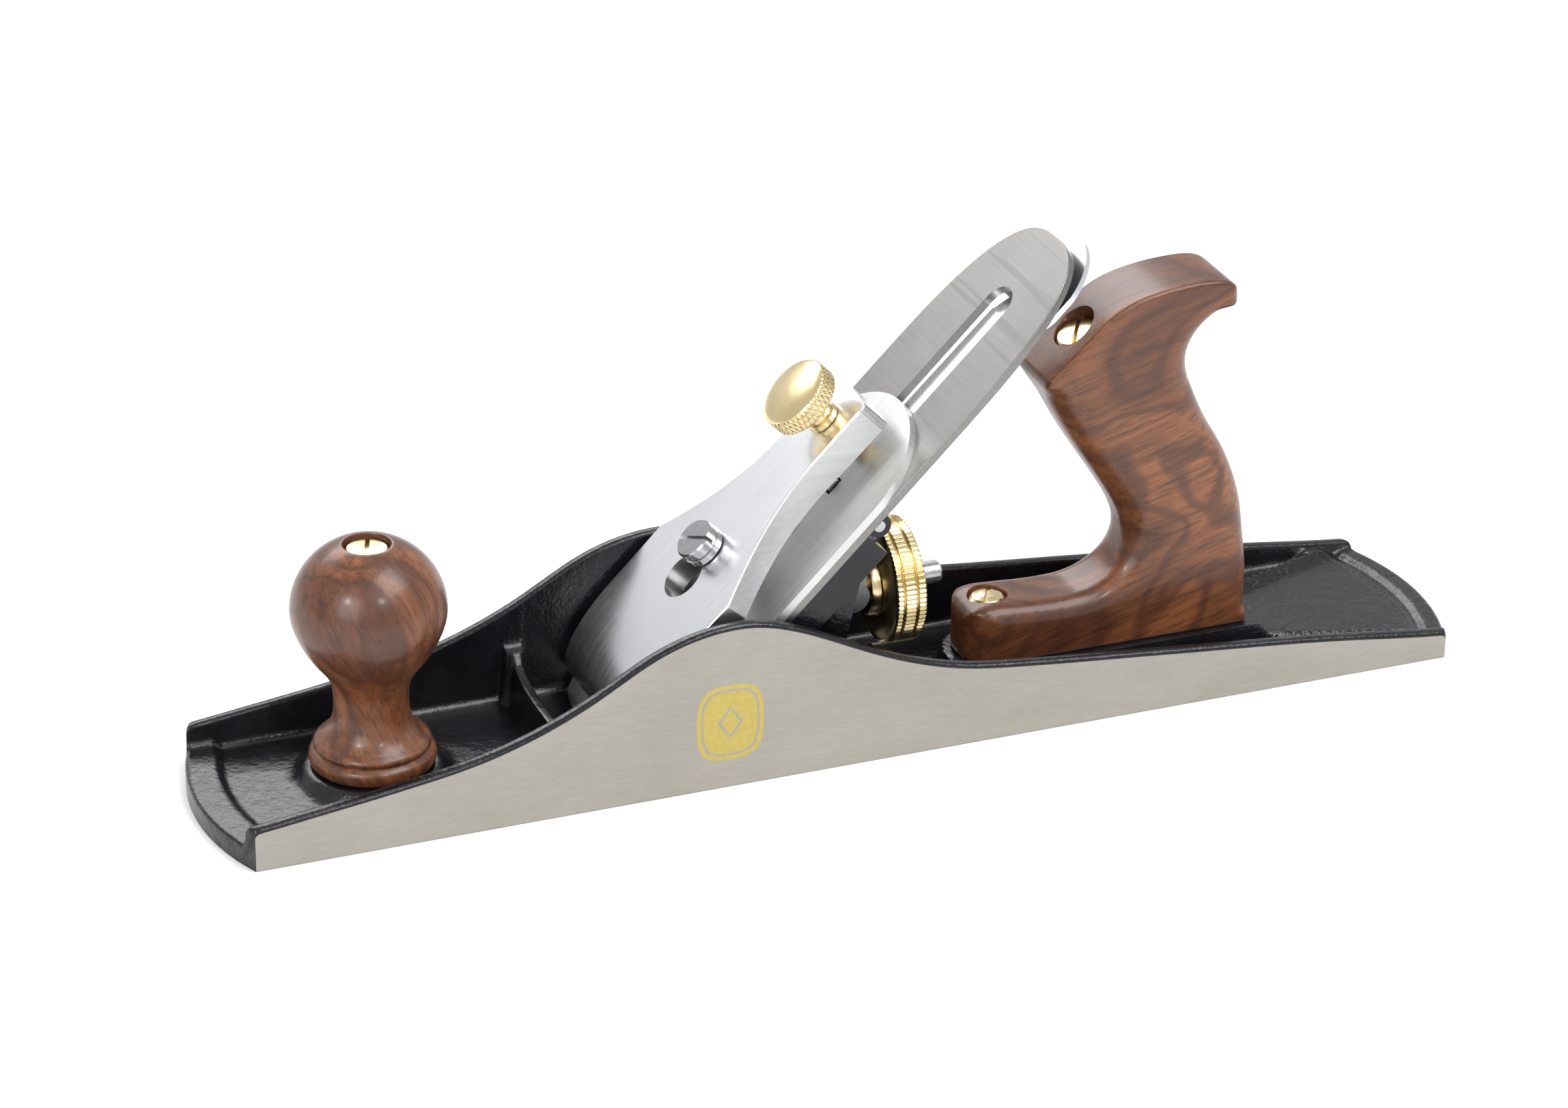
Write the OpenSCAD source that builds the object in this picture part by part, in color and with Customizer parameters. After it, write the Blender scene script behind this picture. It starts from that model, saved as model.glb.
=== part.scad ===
// Iron bench plane of jack size, with a double iron on a 45 degree bed.
// Origin: centre of the sole's underside. +X to the toe, +Y to the plane's left, +Z up.

/* [Body casting] */
// Length of the sole, toe to heel
body_l = 355.6; // [350:0.2:360]
// Width of the sole
body_w = 63.5; // [63:0.1:66]
// How far the ends of the sole bulge in plan
end_bulge = 7; // [4:0.5:10]
// Thickness of the sole
sole_t = 4.5; // [4:0.1:5]
// Thickness of the side walls
wall_t = 3.5; // [3:0.1:3.6]
// Height of the side walls at the hump
hump_h = 47.4; // [45:0.2:50]
// Distance of the hump's peak ahead of the middle
hump_x = 39; // [36:0.5:42]
// Height of the raised lip at the toe and the heel
lip_h = 6; // [5:0.1:7]

/* [Mouth and bed] */
// Angle of the bed to the sole
bed_angle = 45; // [44.5:0.1:45.5]
// Distance of the cutting edge ahead of the middle
edge_x = 67.2; // [66.8:0.1:67.6]
// Length of the mouth opening along the sole
mouth_l = 6.2; // [6:0.1:6.4]

/* [Irons] */
// Width of the cutting iron
iron_w = 50.8; // [50:0.1:51]
// Thickness of the cutting iron
iron_t = 2.4; // [2.2:0.1:2.5]
// Length of the cutting iron
iron_l = 182.9; // [178:0.1:186]
// Length of the cap iron
cap_iron_l = 122; // [120:0.5:124]
// Thickness of the cap iron
cap_iron_t = 2.2; // [2:0.1:2.3]

/* [Lever cap] */
// Height of the lever cap's polished face above the iron
lever_face_t = 16.4; // [16:0.1:17]
// Width of the lever cap's lower part
lever_w = 51; // [50:0.1:51.5]
// Width of the lever cap's waist
lever_waist_w = 20.6; // [19:0.1:24]

/* [Handles] */
// Largest diameter of the front knob
knob_d = 41; // [38:0.5:43]
// Thickness of the tote
tote_w = 22; // [20:0.5:24]
// Lean of the tote's rod from upright
rod_lean = 24.7; // [24:0.1:25.4]

/* [Hidden] */
$fn = 72;

// general
fit = 0.05;                  // radial clearance of a pin or screw in its own hole
eps = 0.01;                  // overshoot of a cut past a face
slot_w = 1.2;                // width of a screwdriver slot

// body casting
end_r = (pow(body_w / 2, 2) + pow(end_bulge, 2)) / (2 * end_bulge);
end_cx = body_l / 2 - end_r;
side_x = body_l / 2 - end_bulge;
inner_y = body_w / 2 - wall_t;
lip_w = 9;
seat_z = 9;                  // top of the machined frog seat
frog_travel = 1;             // frog slide each way
mouth_half_w = 27.4;
mouth_rear_x = edge_x - iron_t / sin(bed_angle) - frog_travel - 0.2;
mouth_front_x = mouth_rear_x + mouth_l;

// knob
knob_x = 129.6;
knob_z = 8.5;
knob_h = 65.5;
stud_r = 3.1;
nut_head_r = 5.8;
nut_head_t = 2.6;
nut_sink = 3;                // depth of the nut's head below the knob's top

// tote
pad_z = 10.5;
tote_nut_sink = 1.2;         // depth of the nut's head below the end of the rod line
tote_top_x = -68.7;
tote_top_z = 102.5;
toe_screw_x = -45.5;
foot_z = 26.3;

// bed stations, measured up the bed from the cutting edge
edge_s = 0.4;                // the edge rests this far up inside the mouth
lever_screw_s = 60.5;
cap_screw_s = 79;
yoke_s = 95;
roller_s = 104.8;
rivet_s = 113;
thumb_s = 107;
keyhole_s = 51;
blade_slot_w = 11.4;
frog_t = 8;                  // thickness of the frog's bed plate
frog_face_t = -iron_t;
frog_back_t = -iron_t - frog_t;

// depth adjuster
wheel_z = 36.4;
groove_x = -3.35;            // middle of the wheel's groove
groove_w = 9.4;
wheel_front_x = groove_x + groove_w / 2;
hub_front_x = groove_x - groove_w / 2;
stud_front_x = 12;
flange_x = -12;
flange_w = 8.5;
flange_r = 17.2;
pivot_t = -12.5;             // depth of the yoke's pivot behind the iron's face
pivot_x = edge_x - yoke_s * cos(bed_angle) + pivot_t * sin(bed_angle);
pivot_z = yoke_s * sin(bed_angle) + pivot_t * cos(bed_angle);
fork_gap = 5.3;              // from the middle line to the inner face of a fork arm
fork_t = 2.4;
yoke_half_w = fork_gap + fork_t + 0.2;
ear_t = 2.4;
stud_rear_x = -31;
disc_r = 4.3;

// frog adjusting screw
adjust_z = 13.2;
adjust_r = 2.5;
clip_x = 4.4;
clip_t = 1.5;
frog_rear_x = clip_x + clip_t;

frog_screw_x = 34;
frog_screw_y = 14;
pocket_z = 15.5;

steel = "silver";
black = "#1c1c20";
brass = "goldenrod";
wood = "#6b3a24";

// ---------- shared shapes ----------

// Children drawn with X up the bed from the cutting edge, Z out of the bed.
module on_bed() {
    translate([edge_x, 0, 0]) rotate([0, bed_angle, 0]) mirror([1, 0, 0]) children();
}

// A section drawn as [up the bed, out of the bed], extruded across the plane.
module across(width) {
    rotate([90, 0, 0]) linear_extrude(height = width, center = true) children();
}

// A round bar along X from x0 to x1.
module bar_x(r, x0, x1) {
    translate([x0, 0, 0]) rotate([0, 90, 0]) cylinder(r = r, h = x1 - x0);
}

// A slot with round ends along X, from the middle of one end to the other.
module long_hole(x0, x1, r) {
    translate([x0, 0]) circle(r = r);
    translate([x1, 0]) circle(r = r);
    translate([x0, -r]) square([x1 - x0, 2 * r]);
}

// A smooth curve through [x, height, slope] keys, sampled n times in each span.
function span(a, b, u) =
    let (w = b[0] - a[0],
         h = (2 * u * u * u - 3 * u * u + 1) * a[1] + (u * u * u - 2 * u * u + u) * w * a[2]
           + (3 * u * u - 2 * u * u * u) * b[1] + (u * u * u - u * u) * w * b[2])
    [a[0] + w * u, h];
function smooth_line(keys, n) =
    concat([for (i = [0:len(keys) - 2], k = [0:n - 1]) span(keys[i], keys[i + 1], k / n)],
           [[keys[len(keys) - 1][0], keys[len(keys) - 1][1]]]);

// ---------- body casting ----------

// Height of the side wall: heel, low waist, hump over the mouth, toe.
wall_keys = [[-side_x - 8, 7.4, 0.08], [-side_x, 8.1, 0.09], [-140, 12, 0.13], [-85, 17.6, 0.1],
             [-45, 21.5, 0.11], [-22, 25, 0.25], [4, 34.8, 0.49], [hump_x, hump_h, 0],
             [66, hump_h - 7.2, -0.55], [82, 31.3, -0.49], [98, 24.6, -0.34], [112, 20.6, -0.22],
             [134, 16.9, -0.15], [160, 13.4, -0.14], [side_x, 12, -0.15],
             [side_x + 8, 10.8, -0.15]];

module sole_outline(inset = 0) {
    translate([end_cx, 0]) circle(r = end_r - inset, $fn = 200);
    translate([-end_cx, 0]) circle(r = end_r - inset, $fn = 200);
    translate([-end_cx, -end_r]) square([2 * end_cx, 2 * end_r]);
}

module sole_plan(half_w, inset = 0) {
    intersection() {
        sole_outline(inset);
        square([body_l, 2 * half_w], center = true);
    }
}

module side_walls() {
    intersection() {
        linear_extrude(height = hump_h + 1) sole_plan(body_w / 2);
        difference() {
            across(body_w) polygon(concat([[side_x + 8, 0], [-side_x - 8, 0]],
                                          smooth_line(wall_keys, 5)));
            translate([-body_l, -inner_y, -1]) cube([2 * body_l, 2 * inner_y, hump_h + 3]);
        }
    }
}

module end_lips() {
    linear_extrude(height = lip_h) difference() {
        sole_plan(inner_y + 1);
        sole_plan(inner_y + 2, lip_w);
    }
}

module knob_boss() {
    translate([knob_x, 0, sole_t - eps]) {
        cylinder(r = 17.4, h = knob_z - sole_t + eps);
        cylinder(r1 = 21, r2 = 17.6, h = 2.2);
    }
}

module cross_rib() {
    rib_x = 81.5;
    translate([rib_x - 1.8, -inner_y - 1, sole_t - eps]) cube([3.6, 2 * inner_y + 2, 9]);
    for (side = [-1, 1])
        translate([rib_x, side * (inner_y - 2), sole_t - eps]) cylinder(r = 3, h = 16);
}

module frog_seat() {
    translate([frog_rear_x + 1, -22, sole_t - eps])
        cube([mouth_rear_x - frog_rear_x - seat_z - 4, 44, seat_z - sole_t + eps]);
    translate([-9, -6.5, sole_t - eps]) cube([6, 13, adjust_z + 3.5 - sole_t]);
}

module tote_pad() {
    front_x = -47;
    translate([0, 0, sole_t - eps]) linear_extrude(height = pad_z - sole_t + eps) {
        translate([front_x, 0]) circle(r = 14);
        translate([-122, -14]) square([front_x + 122, 28]);
    }
}

// The raised fan behind the tote: a low plate edged by two ribs that spread to the heel's corners.
module heel_fan() {
    fan = [[-118, -12], [-161, -26.5], [-166.5, -20], [-168.6, -9], [-168.6, 9], [-166.5, 20],
           [-161, 26.5], [-118, 12]];
    translate([0, 0, sole_t - eps]) linear_extrude(height = lip_h - sole_t) polygon(fan);
    for (side = [-1, 1])
        translate([0, 0, sole_t - eps]) linear_extrude(height = 4)
            polygon([[-118, side * 10], [-118, side * 13], [-164, side * 28.4],
                     [-165, side * 26.6]]);
}

module mouth_cut() {
    across(2 * mouth_half_w)
        polygon([[mouth_rear_x + 1, -1], [mouth_front_x, -1], [mouth_front_x, sole_t + 1],
                 [mouth_rear_x - sole_t - 1, sole_t + 1]]);
}

module plane_body() {
    color(black) difference() {
        union() {
            linear_extrude(height = sole_t) sole_plan(body_w / 2);
            side_walls();
            end_lips();
            knob_boss();
            cross_rib();
            frog_seat();
            tote_pad();
            heel_fan();
        }
        mouth_cut();
        translate([knob_x, 0, 1.5]) cylinder(r = stud_r + fit, h = 10);
        rod_line() cylinder(r = stud_r + fit, h = 200);
        translate([toe_screw_x, 0, 2]) cylinder(r = 2.2 + fit, h = 20);
        for (side = [-1, 1])
            translate([frog_screw_x, side * frog_screw_y, 2]) cylinder(r = 2.6 + fit, h = 20);
        translate([0, 0, adjust_z]) bar_x(adjust_r + fit, -20, 0);
    }
}

// ---------- handles ----------

// Half section of the knob: flared foot with a groove and a bead, neck, swelling and domed top.
knob_ball_z = 44.8;
knob_dome = 19.9;
neck_keys = [[8.2, 14.1, -1.15], [19.5, 9.95, 0], [26.5, 11.6, 0.6], [30, 14.2, 0.78],
             [36, 18, 0.48], [knob_ball_z, knob_d / 2, 0]];
module knob_section() {
    foot = [[15.2, 0], [16.5, 0.8], [16.9, 2.2], [16.7, 3.8], [15.7, 4.9], [15.1, 5.3],
            [15.6, 6], [15.3, 7.2]];
    neck = [for (k = smooth_line(neck_keys, 5)) [k[1], k[0]]];
    dome = [for (a = [6:6:72]) [knob_d / 2 * cos(a), knob_ball_z + knob_dome * sin(a)]];
    polygon(concat([[0, 0]], foot, neck, dome, [[6, knob_h - 1.4], [0, knob_h - 1.4]]));
}

module front_knob() {
    color(wood) translate([knob_x, 0, knob_z]) difference() {
        rotate_extrude($fn = 96) knob_section();
        translate([0, 0, -1]) cylinder(r = stud_r + fit, h = knob_h + 2);
        translate([0, 0, knob_h - nut_sink - 12]) cylinder(r = 4.4 + fit, h = 20);
        translate([0, 0, knob_h - nut_sink - nut_head_t - fit])
            cylinder(r = nut_head_r + 0.4, h = 10);
    }
}

module knob_stud() {
    color(steel) translate([knob_x, 0, 1.6]) cylinder(r = stud_r, h = knob_z + knob_h - nut_sink - 8);
}

// A slotted barrel nut, drawn with its head's top at zero and its barrel down.
module barrel_nut(head_r, barrel) {
    difference() {
        union() {
            rotate_extrude() polygon([[0, 0], [head_r - 0.6, -0.25], [head_r, -0.8],
                                      [head_r, -nut_head_t], [0, -nut_head_t]]);
            translate([0, 0, -barrel]) cylinder(r = 4.4, h = barrel - 2.5);
        }
        translate([-20, -slot_w / 2, -1.5]) cube([40, slot_w, 5]);
        translate([0, 0, -barrel - 1]) cylinder(r = stud_r + fit, h = barrel - 1.4);
    }
}

module knob_nut() {
    color(brass) translate([knob_x, 0, knob_z + knob_h - nut_sink]) rotate([0, 0, 70])
        barrel_nut(nut_head_r, 11.4);
}

// Children drawn along +Z from the foot of the tote's rod.
rod_foot_x = tote_top_x - (tote_top_z - 2) * tan(rod_lean);
module rod_line() {
    translate([rod_foot_x, 0, 2]) rotate([0, rod_lean, 0]) children();
}
rod_len = (tote_top_z - 2) / cos(rod_lean);

tote_outline = [[-36, 12.5], [-36.2, 22.5], [-38.4, 25.8], [-43, 27], [-56, 26.6], [-64, 26],
                [-72, 26.6], [-78.5, 29.2], [-82.3, 33.9], [-83.6, 40], [-82.4, 46.6],
                [-76.4, 57.2], [-67.7, 70.2], [-60.3, 82.9], [-56, 91], [-57.2, 92.9],
                [-66, 100.5], [-75.2, 108.9], [-81, 111.8], [-90, 113.8], [-101, 115.1],
                [-108.5, 115.2], [-111.6, 114], [-112.8, 111.2], [-112.6, 107.8],
                [-110.5, 106.2], [-106.4, 104.5], [-103, 101.6], [-100.6, 97.6], [-99.6, 92.6],
                [-100.4, 87], [-102.4, 81.4], [-106.6, 72.3], [-112.8, 61.8], [-117, 51.6],
                [-119.4, 39.4], [-120, 25], [-120, 12.5], [-118, pad_z], [-38, pad_z]];
foot_round_x = -47;          // where the tote's foot starts to round off in plan

module tote() {
    color(wood) difference() {
        intersection() {
            across(tote_w) polygon(tote_outline);
            linear_extrude(height = tote_top_z + 20) {
                translate([foot_round_x, 0]) circle(r = tote_w / 2);
                translate([-125, -tote_w / 2]) square([125 + foot_round_x, tote_w]);
            }
        }
        rod_line() cylinder(r = stud_r + fit, h = rod_len + 20);
        rod_line() translate([0, 0, rod_len - 14]) cylinder(r = 4.4 + fit, h = 40);
        rod_line() translate([0, 0, rod_len - tote_nut_sink - nut_head_t - 2 * fit])
            cylinder(r = 6.4, h = 40);
        translate([toe_screw_x, 0, 0]) cylinder(r = 2.2 + fit, h = 60);
        translate([toe_screw_x, 0, foot_z - 1.6]) cylinder(r = 5.6, h = 20);
    }
}

module tote_rod() {
    color(steel) rod_line() translate([0, 0, 0.3]) cylinder(r = stud_r, h = rod_len - 8);
}

module tote_nut() {
    color(brass) rod_line() translate([0, 0, rod_len - tote_nut_sink]) rotate([0, 0, 55])
        barrel_nut(6, 10);
}

module tote_toe_screw() {
    color(brass) translate([toe_screw_x, 0, 0]) difference() {
        union() {
            translate([0, 0, 2.2]) cylinder(r = 2.2, h = foot_z - 3.6);
            translate([0, 0, foot_z - 1.6]) rotate_extrude()
                polygon([[0, 0], [5.3, 0], [5.2, 0.8], [4.2, 1.7], [2.4, 2.3], [0, 2.5]]);
        }
        rotate([0, 0, 60]) translate([-10, -slot_w / 2, foot_z - 0.5]) cube([20, slot_w, 5]);
    }
}

// ---------- frog ----------

frog_top_s = 92;
frog_tongue_s = 119;
frog_half_w = 25;
tongue_half_w = 11;

function bed_x(s, t) = edge_x - s * cos(bed_angle) + t * sin(bed_angle);
function bed_z(s, t) = s * sin(bed_angle) + t * cos(bed_angle);
frog_toe_s = (seat_z - frog_face_t * cos(bed_angle)) / sin(bed_angle);

module bed_plate() {
    difference() {
        on_bed() translate([0, 0, frog_back_t]) linear_extrude(height = frog_t) {
            translate([frog_toe_s, -frog_half_w])
                square([frog_top_s - frog_toe_s, 2 * frog_half_w]);
            translate([frog_top_s - 1, -tongue_half_w])
                square([frog_tongue_s - frog_top_s + 1 - tongue_half_w, 2 * tongue_half_w]);
            translate([frog_tongue_s - tongue_half_w, 0]) circle(r = tongue_half_w);
        }
        // the foot of the plate stands flat on the seat
        translate([0, -body_w / 2, seat_z - body_w]) cube([body_l / 2, body_w, body_w]);
    }
}

module frog_base() {
    toe_x = bed_x(frog_toe_s, frog_face_t);
    translate([frog_rear_x, -22, seat_z])
        cube([toe_x - frog_rear_x - 7, 44, pocket_z - seat_z]);
    across(2 * frog_half_w - 2) polygon([[toe_x - 3, seat_z], [toe_x - 14, seat_z],
                                         [toe_x - 22, pocket_z + 2], [toe_x - 11, seat_z + 8]]);
    translate([frog_rear_x, -10, seat_z]) cube([8, 20, 16]);
}

module frog_webs() {
    for (side = [-1, 1])
        translate([0, side * 18.5, 0]) across(5)
            polygon([[frog_rear_x, seat_z], [45, seat_z], [45, 12], [bed_x(80, frog_back_t + 1),
                     bed_z(80, frog_back_t + 1)], [bed_x(82, frog_back_t - 2),
                     bed_z(82, frog_back_t - 2)], [frog_rear_x, 26]]);
}

// Two ears behind the bed plate carry the yoke's pin, with a gap for the yoke between them.
module yoke_ears() {
    for (side = [-1, 1])
        translate([0, side * (yoke_half_w + 0.4 + ear_t / 2), 0]) {
            translate([pivot_x, 0, pivot_z]) rotate([90, 0, 0])
                cylinder(r = 3.4, h = ear_t, center = true);
            across(ear_t) polygon([[pivot_x - 2.3, pivot_z + 2.3], [pivot_x + 2.3, pivot_z - 2.3],
                                   [bed_x(84, frog_back_t + 1), bed_z(84, frog_back_t + 1)],
                                   [bed_x(99, frog_back_t + 1), bed_z(99, frog_back_t + 1)]]);
        }
}

module frog_pockets() {
    for (side = [-1, 1])
        translate([frog_screw_x, side * frog_screw_y, 0]) {
            translate([0, 0, seat_z - 1]) linear_extrude(height = 20)
                long_hole(-frog_travel - 0.4, frog_travel + 0.4, 3);
            translate([0, 0, pocket_z]) linear_extrude(height = 60)
                long_hole(-frog_travel - 0.4, frog_travel + 0.4, 7);
        }
}

module frog_face_cuts() {
    on_bed() {
        // hole of the lever cap's screw
        translate([lever_screw_s, 0, frog_back_t - 2]) cylinder(r = 3 + fit, h = 60);
        // room for the head of the cap iron's screw
        translate([cap_screw_s - 12, -10, frog_face_t - 3.6]) cube([25, 20, 20]);
        // passage of the yoke's arm, wider behind the plate for its barrel
        translate([yoke_s - 4, -4.6, frog_back_t - 30]) cube([9, 9.2, 60]);
        translate([yoke_s - 6, -yoke_half_w - 0.4, frog_back_t - 30])
            cube([12, 2 * yoke_half_w + 0.8, 32.4]);
        // recess of the lateral lever
        translate([yoke_s + 4, -tongue_half_w - 1, frog_face_t - 2.3])
            cube([40, 2 * tongue_half_w + 2, 10]);
        translate([rivet_s, 0, frog_back_t - 5]) cylinder(r = 2.4 + fit, h = 30);
    }
}

module frog() {
    color(black) difference() {
        union() {
            difference() {
                union() {
                    bed_plate();
                    frog_base();
                    frog_webs();
                    translate([0, 0, wheel_z]) bar_x(7.5, 8, 20);
                }
                frog_pockets();
                frog_face_cuts();
            }
            difference() {
                yoke_ears();
                on_bed() translate([0, -20, frog_face_t - 2.3]) cube([200, 40, 20]);
            }
        }
        translate([pivot_x, 0, pivot_z]) rotate([90, 0, 0])
            cylinder(r = 1.6 + fit, h = 60, center = true);
        translate([0, 0, wheel_z]) bar_x(stud_r + fit, 0, stud_front_x + 0.2);
        translate([0, 0, adjust_z]) bar_x(4.2, frog_rear_x - 1, frog_rear_x + 4);
        translate([0, 0, adjust_z + 8.5]) bar_x(1.6 + fit, frog_rear_x - 1, frog_rear_x + 7);
    }
}

module frog_screws() {
    color(steel) for (side = [-1, 1])
        translate([frog_screw_x, side * frog_screw_y, 0]) difference() {
            union() {
                translate([0, 0, 2.2]) cylinder(r = 2.6, h = pocket_z);
                translate([0, 0, pocket_z + 1.4]) cylinder(r = 4.6, h = 3);
            }
            translate([-10, -slot_w / 2, pocket_z + 3]) cube([20, slot_w, 5]);
        }
}

module frog_screw_washers() {
    color(steel) for (side = [-1, 1])
        translate([frog_screw_x, side * frog_screw_y, pocket_z]) difference() {
            cylinder(r = 6.3, h = 1.4);
            translate([0, 0, -1]) cylinder(r = 2.6 + fit, h = 4);
        }
}

// ---------- frog adjustment ----------

module frog_clip() {
    color(steel) difference() {
        translate([clip_x, -6.5, adjust_z - 3]) cube([clip_t, 13, 14.5]);
        translate([0, 0, adjust_z]) bar_x(1.8 + fit, clip_x - 1, clip_x + 5);
        translate([clip_x - 1, -1.8 - fit, adjust_z - 10]) cube([5, 3.6 + 2 * fit, 10]);
        translate([0, 0, adjust_z + 8.5]) bar_x(1.6 + fit, clip_x - 1, clip_x + 5);
    }
}

module frog_clip_screw() {
    color(steel) translate([0, 0, adjust_z + 8.5]) difference() {
        union() {
            bar_x(1.6, clip_x - 0.5, frog_rear_x + 6.5);
            bar_x(3, clip_x - 1.9, clip_x);
        }
        translate([clip_x - 3, -10, -0.4]) cube([2, 20, 0.8]);
    }
}

module frog_adjusting_screw() {
    color(steel) translate([0, 0, adjust_z]) difference() {
        union() {
            bar_x(adjust_r, -12.5, clip_x - 0.1);
            bar_x(1.8, clip_x - 0.5, frog_rear_x + 0.5);
            bar_x(3.4, frog_rear_x + 0.1, frog_rear_x + 2);
            bar_x(4, -15, -12);
        }
        translate([-16, -10, -slot_w / 2]) cube([2.4, 20, slot_w]);
    }
}

// ---------- depth adjustment ----------

module adjuster_stud() {
    color(steel) translate([0, 0, wheel_z]) rotate([0, 90, 0])
        rotate_extrude() polygon([[0, stud_rear_x], [stud_r - 0.7, stud_rear_x],
                                  [stud_r, stud_rear_x + 0.7],
                                  [stud_r, stud_front_x], [0, stud_front_x]]);
}

// The wheel's section as [radius, distance ahead of the middle]: core, hub and grooved flange.
module wheel_section() {
    band = flange_w / 5;
    back = flange_x - flange_w;
    polygon([[stud_r + fit, wheel_front_x - 0.1], [4.6, wheel_front_x - 0.1], [4.6, hub_front_x],
             [8.6, hub_front_x], [8.9, hub_front_x - 0.4], [8.9, flange_x + 1.2],
             [flange_r - 1.4, flange_x + 0.3], [flange_r - 0.4, flange_x],
             [flange_r, flange_x - 0.5], [flange_r, flange_x - band],
             [flange_r - 1, flange_x - band], [flange_r - 1, flange_x - band * 1.6],
             [flange_r + 0.2, flange_x - band * 1.6], [flange_r + 0.2, flange_x - band * 3.2],
             [flange_r - 1, flange_x - band * 3.2], [flange_r - 1, flange_x - band * 3.8],
             [flange_r, flange_x - band * 3.8], [flange_r, back + 0.5], [flange_r - 1, back],
             [7.5, back + 0.6], [6.5, back + 0.2], [stud_r + fit, back + 0.2]]);
}

module depth_wheel() {
    color(brass) translate([0, 0, wheel_z]) rotate([0, 90, 0])
        rotate_extrude($fn = 120) wheel_section();
}

module wheel_collar() {
    color(brass) translate([0, 0, wheel_z]) difference() {
        bar_x(6.9, wheel_front_x, wheel_front_x + 1.7);
        bar_x(stud_r + fit, wheel_front_x - 1, wheel_front_x + 4);
    }
}

module yoke_lever() {
    color("lightslategray") difference() {
        union() {
            // tip in the cap iron's slot and the arm up to it
            on_bed() translate([yoke_s, 0, 1.1]) rotate([90, 0, 0])
                cylinder(r = 2.3, h = 7.6, center = true);
            on_bed() translate([yoke_s - 1.9, -3.8, pivot_t]) cube([3.8, 7.6, 1.1 - pivot_t]);
            translate([pivot_x, 0, pivot_z]) rotate([90, 0, 0])
                cylinder(r = 4, h = 2 * yoke_half_w - 0.4, center = true);
            for (side = [-1, 1])
                translate([0, side * (fork_gap + fork_t / 2), 0]) {
                    translate([groove_x, 0, wheel_z]) rotate([90, 0, 0])
                        cylinder(r = disc_r, h = fork_t, center = true);
                    across(fork_t) polygon([[pivot_x - 1, pivot_z - 1], [pivot_x + 3.6, pivot_z],
                                         [groove_x + 2.6, wheel_z + 2],
                                         [groove_x - 2.6, wheel_z + 2]]);
                }
        }
        translate([pivot_x, 0, pivot_z]) rotate([90, 0, 0])
            cylinder(r = 1.6 + fit, h = 40, center = true);
    }
}

module yoke_pin() {
    color(steel) translate([pivot_x, 0, pivot_z]) rotate([90, 0, 0])
        cylinder(r = 1.6, h = 2 * (yoke_half_w + ear_t + 0.6), center = true);
}

// ---------- lateral adjustment ----------

module lateral_lever() {
    lever_t = 1.6;
    low = frog_face_t - 2.2;
    color(steel) on_bed() difference() {
        union() {
            translate([0, 0, low]) linear_extrude(height = lever_t) {
                translate([roller_s, 0]) circle(r = 4.2);
                translate([rivet_s, 0]) circle(r = 5.6);
                polygon([[roller_s, -4.2], [rivet_s, -5.6], [158, -4.6], [158, 4.6],
                         [rivet_s, 5.6], [roller_s, 4.2]]);
            }
            across(9.2) polygon([[157, low], [157, low + lever_t], [164, low - 0.4],
                                 [164, low - 2]]);
            translate([0, 0, low - 2]) linear_extrude(height = lever_t) intersection() {
                translate([170, 0]) circle(r = 17.4);
                translate([163, -17]) square([24, 34]);
            }
            translate([roller_s, 0, low]) cylinder(r = 2.2, h = 3.7);
        }
        translate([rivet_s, 0, low - 1]) cylinder(r = 2.4 + fit, h = 10);
    }
}

module lateral_rivet() {
    color(steel) on_bed() translate([rivet_s, 0, 0]) {
        translate([0, 0, frog_back_t - 1]) cylinder(r = 2.4, h = frog_t);
        translate([0, 0, frog_face_t - 0.55]) cylinder(r = 2.8, h = 0.5);
        translate([0, 0, frog_back_t - 1.4]) cylinder(r = 3.6, h = 1.3);
        translate([0, 0, frog_face_t - 4]) cylinder(r = 2.4, h = 3.6);
    }
}

module lateral_roller() {
    color(steel) on_bed() translate([roller_s, 0, frog_face_t - 0.5]) difference() {
        cylinder(r = 5, h = 2.2);
        translate([0, 0, -1]) cylinder(r = 2.2 + fit, h = 5);
    }
}

// ---------- irons ----------

// Half the iron's width at a station up the bed: straight, then easing in to a rounded top.
iron_top_s = edge_s + iron_l;
iron_ease_s = 125;
function iron_half(u) = iron_w / 2 * pow(1 - pow(u, 3), 1 / 2.8);
iron_steps = [for (k = [0:20]) sin(90 * k / 20)];

module cutting_iron() {
    ease_l = iron_top_s - iron_ease_s;
    plan = concat([[0, iron_w / 2]],
                  [for (u = iron_steps) [iron_ease_s + ease_l * u, iron_half(u)]],
                  [for (k = [1:20]) [iron_ease_s + ease_l * iron_steps[20 - k],
                                     -iron_half(iron_steps[20 - k])]],
                  [[0, -iron_w / 2]]);
    bevel = iron_t / tan(25);
    color(steel) on_bed() difference() {
        intersection() {
            translate([0, 0, -iron_t - 1]) linear_extrude(height = iron_t + 2) polygon(plan);
            across(iron_w + 2) polygon([[edge_s, 0], [edge_s + bevel, -iron_t],
                                        [iron_top_s + 1, -iron_t], [iron_top_s + 1, 0]]);
        }
        translate([0, 0, -iron_t - 1]) linear_extrude(height = iron_t + 2)
            long_hole(53, 165 - blade_slot_w / 2, blade_slot_w / 2);
        translate([53, 0, -iron_t - 1]) cylinder(r = 9, h = iron_t + 2);
    }
}

// The hump near the edge: it rises quickly from the edge and eases back to the iron.
hump_s0 = edge_s + 1;
hump_s1 = 34;
function bell(s) = pow(sin(180 * pow((s - hump_s0) / (hump_s1 - hump_s0), 0.6)), 2);
function hump_under(s) = 3 * bell(s);
function hump_over(s) = hump_under(s) + min(cap_iron_t, 0.9 * (s - hump_s0));

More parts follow.
